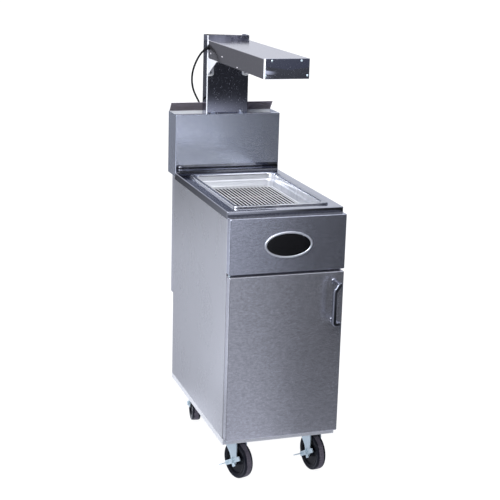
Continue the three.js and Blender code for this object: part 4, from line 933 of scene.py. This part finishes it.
# Casters: place of the swivel and its turn in degrees
CASTERS = {"caster_fl": (-125, 100, 18), "caster_fr": (149, 100, 9), "caster_rl": (-125, 560, 172),
           "caster_rr": (149, 560, 186)}
WHEEL_HALF = [(5.4, 18), (14.6, 18), (15.6, 17.6), (16, 16.8), (16.5, 12.6), (17.6, 10.8), (19.6, 10.2),
              (26, 10.1), (34, 10.0), (40.5, 10.0), (43, 10.5), (44.3, 11.6), (45.2, 13.4), (46.3, 14.5),
              (47.6, 14.9), (49.6, 14.9), (50.7, 14.5), (51.2, 13.6), (51.8, 13.6), (52.3, 14.5),
              (53.6, 15.1), (57.6, 15.8), (59.6, 15.9), (61.2, 15.4), (62.3, 14.2), (63, 12.2), (63.3, 9.5),
              (63.45, 6), (63.5, 3)]
WHEEL_RADIUS, WHEEL_TRAIL = 63.5, 33


def make_wheel(name, material):
    """The wheel's map holds its own width and radius, so that the tread wears in the middle."""
    x, y, turn = CASTERS[name]
    bm = bmesh.new()
    profile = [*WHEEL_HALF, *[(radius, -along) for radius, along in reversed(WHEEL_HALF)]]
    u, v, axle = basis(ACROSS)
    loft(bm, [circle(axle * mm(along), u, v, radius, 72) for radius, along in profile], closed=True)
    bmesh.ops.recalc_face_normals(bm, faces=bm.faces)
    layer = bm.loops.layers.uv.new("grain")
    for face in bm.faces:
        for loop in face.loops:
            co = loop.vert.co
            loop[layer].uv = (co.x, math.hypot(co.y, co.z))
    place = (Matrix.Translation(cad(x, y, 0)) @ Matrix.Rotation(math.radians(turn), 4, "Z")
             @ Matrix.Translation((0, mm(-WHEEL_TRAIL), mm(WHEEL_RADIUS))))
    bmesh.ops.transform(bm, matrix=place, verts=bm.verts)
    stand_for(f"{name}_wheel", bm, material, angle=45)


# The wheel's paint in metres: half the worn band, its waver, where the tread starts and the core ends
WORN_HALF, WORN_WAVER, TREAD_START, CORE_END = (0.0098, 0.0070), 0.012, (0.0624, 0.0631), (0.0495, 0.0515)


def wheel_paint():
    """Black rubber on a black core, with a dusty grey-brown band where the tread has run."""
    paint = Paint("wheel_rubber", Specular_IOR_Level=0.12)
    own = paint.parts(paint.node("ShaderNodeUVMap", uv_map="grain").outputs[0])
    along, radius = paint.math("ABSOLUTE", own["X"]), own["Y"]
    cloud = paint.noise(45, detail=5, roughness=0.65)
    grit = paint.noise(520, detail=3, roughness=0.7)
    edge = paint.plus(along, paint.centred(cloud, WORN_WAVER))
    band = paint.times(paint.ramp(edge, *WORN_HALF), paint.ramp(radius, *TREAD_START))
    dust = paint.times(band, paint.ramp(grit, 0.34, 0.62, 0.15, 1.0))
    core = paint.mix(cloud, (0.002, 0.002, 0.004), (0.005, 0.005, 0.009))
    rubber = paint.mix(cloud, (0.006, 0.007, 0.011), (0.013, 0.014, 0.022))
    tone = paint.mix(paint.ramp(radius, *CORE_END), core, rubber)
    tone = paint.mix(dust, tone, (0.175, 0.155, 0.180))
    roughness = paint.plus(paint.ramp(grit, 0.3, 0.7, 0.20, 0.32), paint.times(dust, 0.45))
    return paint.finish(tone, roughness, paint.plus(grit, paint.times(dust, 0.5)), 0.12, RUBBER_DEPTH)


# Cord
CORD_ROUTE = [
    (-96.83, 644.97, 1377.21), (-99.2, 645.61, 1375.17),
    (-103.5, 648.2, 1369.7), (-112.6, 653.2, 1353.6), (-120, 659, 1335.1), (-124.8, 665.5, 1316.5),
    (-127, 673, 1298), (-126.5, 681, 1279.5), (-123.3, 690, 1259.9), (-114.5, 703.5, 1234.5),
    (-100.5, 719.5, 1210), (-84, 736, 1185), (-71, 745.5, 1155), (-64, 748, 1115), (-62, 748, 1060),
    (-62, 748, 850.1), (-62, 748, 550.1), (-62, 748, 250.2), (-62, 748, 90), (-58, 748, 45),
    (-43, 748, 15), (-18, 748, 4.3), (10, 748, 3.6), (55, 748, 3.6), (100, 748, 3.6),
    (128.3, 736.3, 3.6), (140, 708, 5.1), (128.3, 679.7, 8.6), (100, 668, 13), (95, 668, 13),
]


CORD_RADIUS, CORD_LOWEST = 3.5, 3.6


def cord_line():
    """The cord's route, smoothed, and kept from dipping into the floor between its points."""
    line = smooth_line([cad(*p) for p in CORD_ROUTE], 8)
    return [Vector((p.x, p.y, max(p.z, mm(CORD_LOWEST)))) for p in line]


def make_cord(material):
    line = cord_line()
    data = bpy.data.curves.new("lamp_cord_fine", "CURVE")
    data.dimensions = "3D"
    data.bevel_depth = mm(CORD_RADIUS)
    data.bevel_resolution = 5
    data.use_fill_caps = True
    spline = data.splines.new("POLY")
    spline.points.add(len(line) - 1)
    for point, place in zip(spline.points, line):
        point.co = (*place, 1)
    spline.use_smooth = True
    piece = add_object("lamp_cord_fine", data)
    data.materials.append(material)
    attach(piece, "cabinet")
    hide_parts("lamp_cord")


make_camera()
make_stage()

# Materials of the part: name, colour and roughness, with the grain axis as 0, 1 or 2
JACKET = plastic("cord_jacket", (0.003, 0.003, 0.004), 0.28, bump=0.03, specular=0.22)
BOOT = plastic("boot_rubber", (0.003, 0.003, 0.004), 0.5, bump=0.05, specular=0.15)
DOOR = steel("door_sheet", (0.57, 0.57, 0.615), 0.24, aniso=0.7, speckle=0.25, metal=0.84)
SIDE = steel("side_sheet", (0.63, 0.63, 0.645), 0.28, grain=2, aniso=0.35, speckle=0.012, streak=0.008,
             bump=0.004, metal=0.86)
PANEL = steel("panel_sheet", (0.57, 0.585, 0.665), 0.20, aniso=0.7, speckle=0.26, metal=0.90)
RISER = steel("riser_sheet", (0.74, 0.78, 0.97), 0.20, aniso=0.6, speckle=0.14, streak=0.06, smear=0.07,
              bump=0.003, metal=0.86)
PLAIN = steel("plain_sheet", (0.62, 0.62, 0.65), 0.33, aniso=0.4, speckle=0.12, metal=0.85)
BASE = steel("base_sheet", (0.99, 0.99, 1.0), 0.42, speckle=0.12, metal=0.08)
# The deck's front face and two bands on its rear upstand are darkened as painted dark reflections.
DECK = steel("deck_sheet", (0.57, 0.58, 0.635), 0.08, aniso=0.2, scratches=0.25, sparkle=0.08,
             smear=0.03, bump=0.003, calm_above=0.9445,
             painted_dark_bands=((0.9140, 0.9385, 0.60), (0.9553, 0.9622, 0.30), (0.9440, 0.9482, 0.25)))
# The lamp post's left front edge is painted white, a painted highlight.
MIRROR = steel("mirror_sheet", (0.42, 0.43, 0.51), 0.06, grain=2, aniso=0.1, scratches=0.55, sparkle=0.4,
               smear=0.03, haze=(1.405, 1.418), painted_light_below=(("X", -0.0748), ("Y", 0.3318)))
# The end plates' left edges are painted white, a painted highlight.
END = steel("end_sheet", (0.56, 0.58, 0.68), 0.05, aniso=0.1, scratches=0.5, sparkle=0.3,
            speckle=0.08, smear=0.02, metal=0.95, painted_light_below=(("X", -0.0703),))
LAMP = steel("lamp_sheet", (0.73, 0.705, 0.735), 0.14, grain=1, scratches=0.15, sparkle=0.03, metal=0.97)
# Below the riser's top the deflector is painted white, as painted light falling in from above.
LEANING = steel("deflector_sheet", (0.46, 0.41, 0.45), 0.34, speckle=0.04, metal=0.70, painted_light_below=(("Z", 1.1525),))
INNER = steel("inner_sheet", (0.90, 0.91, 0.94), 0.38, metal=0.5)
# The lamp brackets are matt white, a painted light look that keeps them bright in the lamp's shade.
EAR = steel("bracket_sheet", (0.99, 0.99, 1.0), 0.40, grain=2, aniso=0.2, metal=0.05)
PAN = pan_steel()
REFLECTOR = steel("reflector_sheet", (0.84, 0.85, 0.87), 0.16, grain=1, aniso=0.2, scratches=0.2)
WIRE = grate_chrome()
CHROME = bright("trim_chrome", (0.58, 0.60, 0.68), 0.05)
RING = bright("ring_chrome", (0.86, 0.88, 0.95), 0.30, metal=0.75)
ZINC = bright("zinc_plate", (0.68, 0.79, 0.83), 0.34, wear=0.1, bump=0.1, metal=0.6)
BRASS = bright("blade_brass", (0.78, 0.62, 0.36), 0.25)
ELEMENT = bright("element_sheath", (0.33, 0.29, 0.26), 0.5, wear=0.2, bump=0.1)
BADGE = plastic("badge_enamel", (0.006, 0.006, 0.007), 0.22, bump=0.02, specular=0.3)
RUBBER = plastic("black_rubber", (0.018, 0.018, 0.02), 0.5)
CERAMIC = plastic("ceramic", (0.78, 0.74, 0.66), 0.6, light=1.05)
MAGNET = plastic("magnet_block", (0.03, 0.03, 0.032), 0.55)
TREAD = wheel_paint()

BY_SLOT = {
    "brushed_sheet": PLAIN, "polished_sheet": DECK, "pan_steel": PAN, "reflector_sheet": REFLECTOR,
    "chrome_trim": CHROME, "chrome_wire": WIRE, "zinc_plate": ZINC, "badge_field": BADGE,
    "caster_wheel": TREAD, "black_rubber": RUBBER, "cord_jacket": JACKET, "element_sheath": ELEMENT,
    "insulator": CERAMIC, "blade_brass": BRASS, "magnet_block": MAGNET,
}
# Material, grain axis and edge radius in millimetres
OWN = {
    "door_skin": (DOOR, 0, 0.5), "door_liner": (PLAIN, 0, 0.35), "front_panel": (PANEL, 0, 0.5),
    "side_panel_left": (SIDE, 2, 0.5), "side_panel_right": (SIDE, 2, 0.5),
    "riser_shroud": (RISER, 0, 0.6), "riser_back_panel": (INNER, 0, 0.4), "deck_top": (DECK, 0, 0.5),
    "lamp_post": (MIRROR, 2, 0.5), "lamp_housing": (LAMP, 1, 0.6), "flue_deflector": (LEANING, 0, 0.5),
    "lamp_bracket_left": (EAR, 2, 0.6), "lamp_bracket_right": (EAR, 2, 0.6), "base_frame": (BASE, 0, 0.8),
}
PLAIN_EDGE, ZINC_EDGE, BRAKE_EDGE, BLADE_EDGE = 0.35, 0.9, 0.3, 0.3

make_plug(RUBBER, BRASS)
for node in ("plug_blade_left", "plug_blade_right"):
    dress(node, BRASS, 0, BLADE_EDGE)
make_cord(JACKET)
make_relief(BOOT)
make_pan(PAN)
make_grate(WIRE)
make_handle(CHROME)
make_badge(RING, BADGE)
for node in END_PLATES:
    make_end_plate(node, END)
make_lamp_inside(ELEMENT, ZINC)
make_rivets(LAMP)
make_end_screws(ZINC)
for name in CASTERS:
    make_wheel(name, TREAD)


def edge_radius(node):
    """Rolled edges on the casters' pressings, and sharper ones where a brake turns on its axle."""
    if "brake" in node or "axle" in node:
        return BRAKE_EDGE
    return ZINC_EDGE if "caster" in node else PLAIN_EDGE


for node in sorted(NODES):
    if f"{node}_fine" in bpy.data.objects:
        continue
    material, grain, edge = OWN.get(node, (BY_SLOT[SLOT[node]], 0, edge_radius(node)))
    dress(node, material, grain, edge)
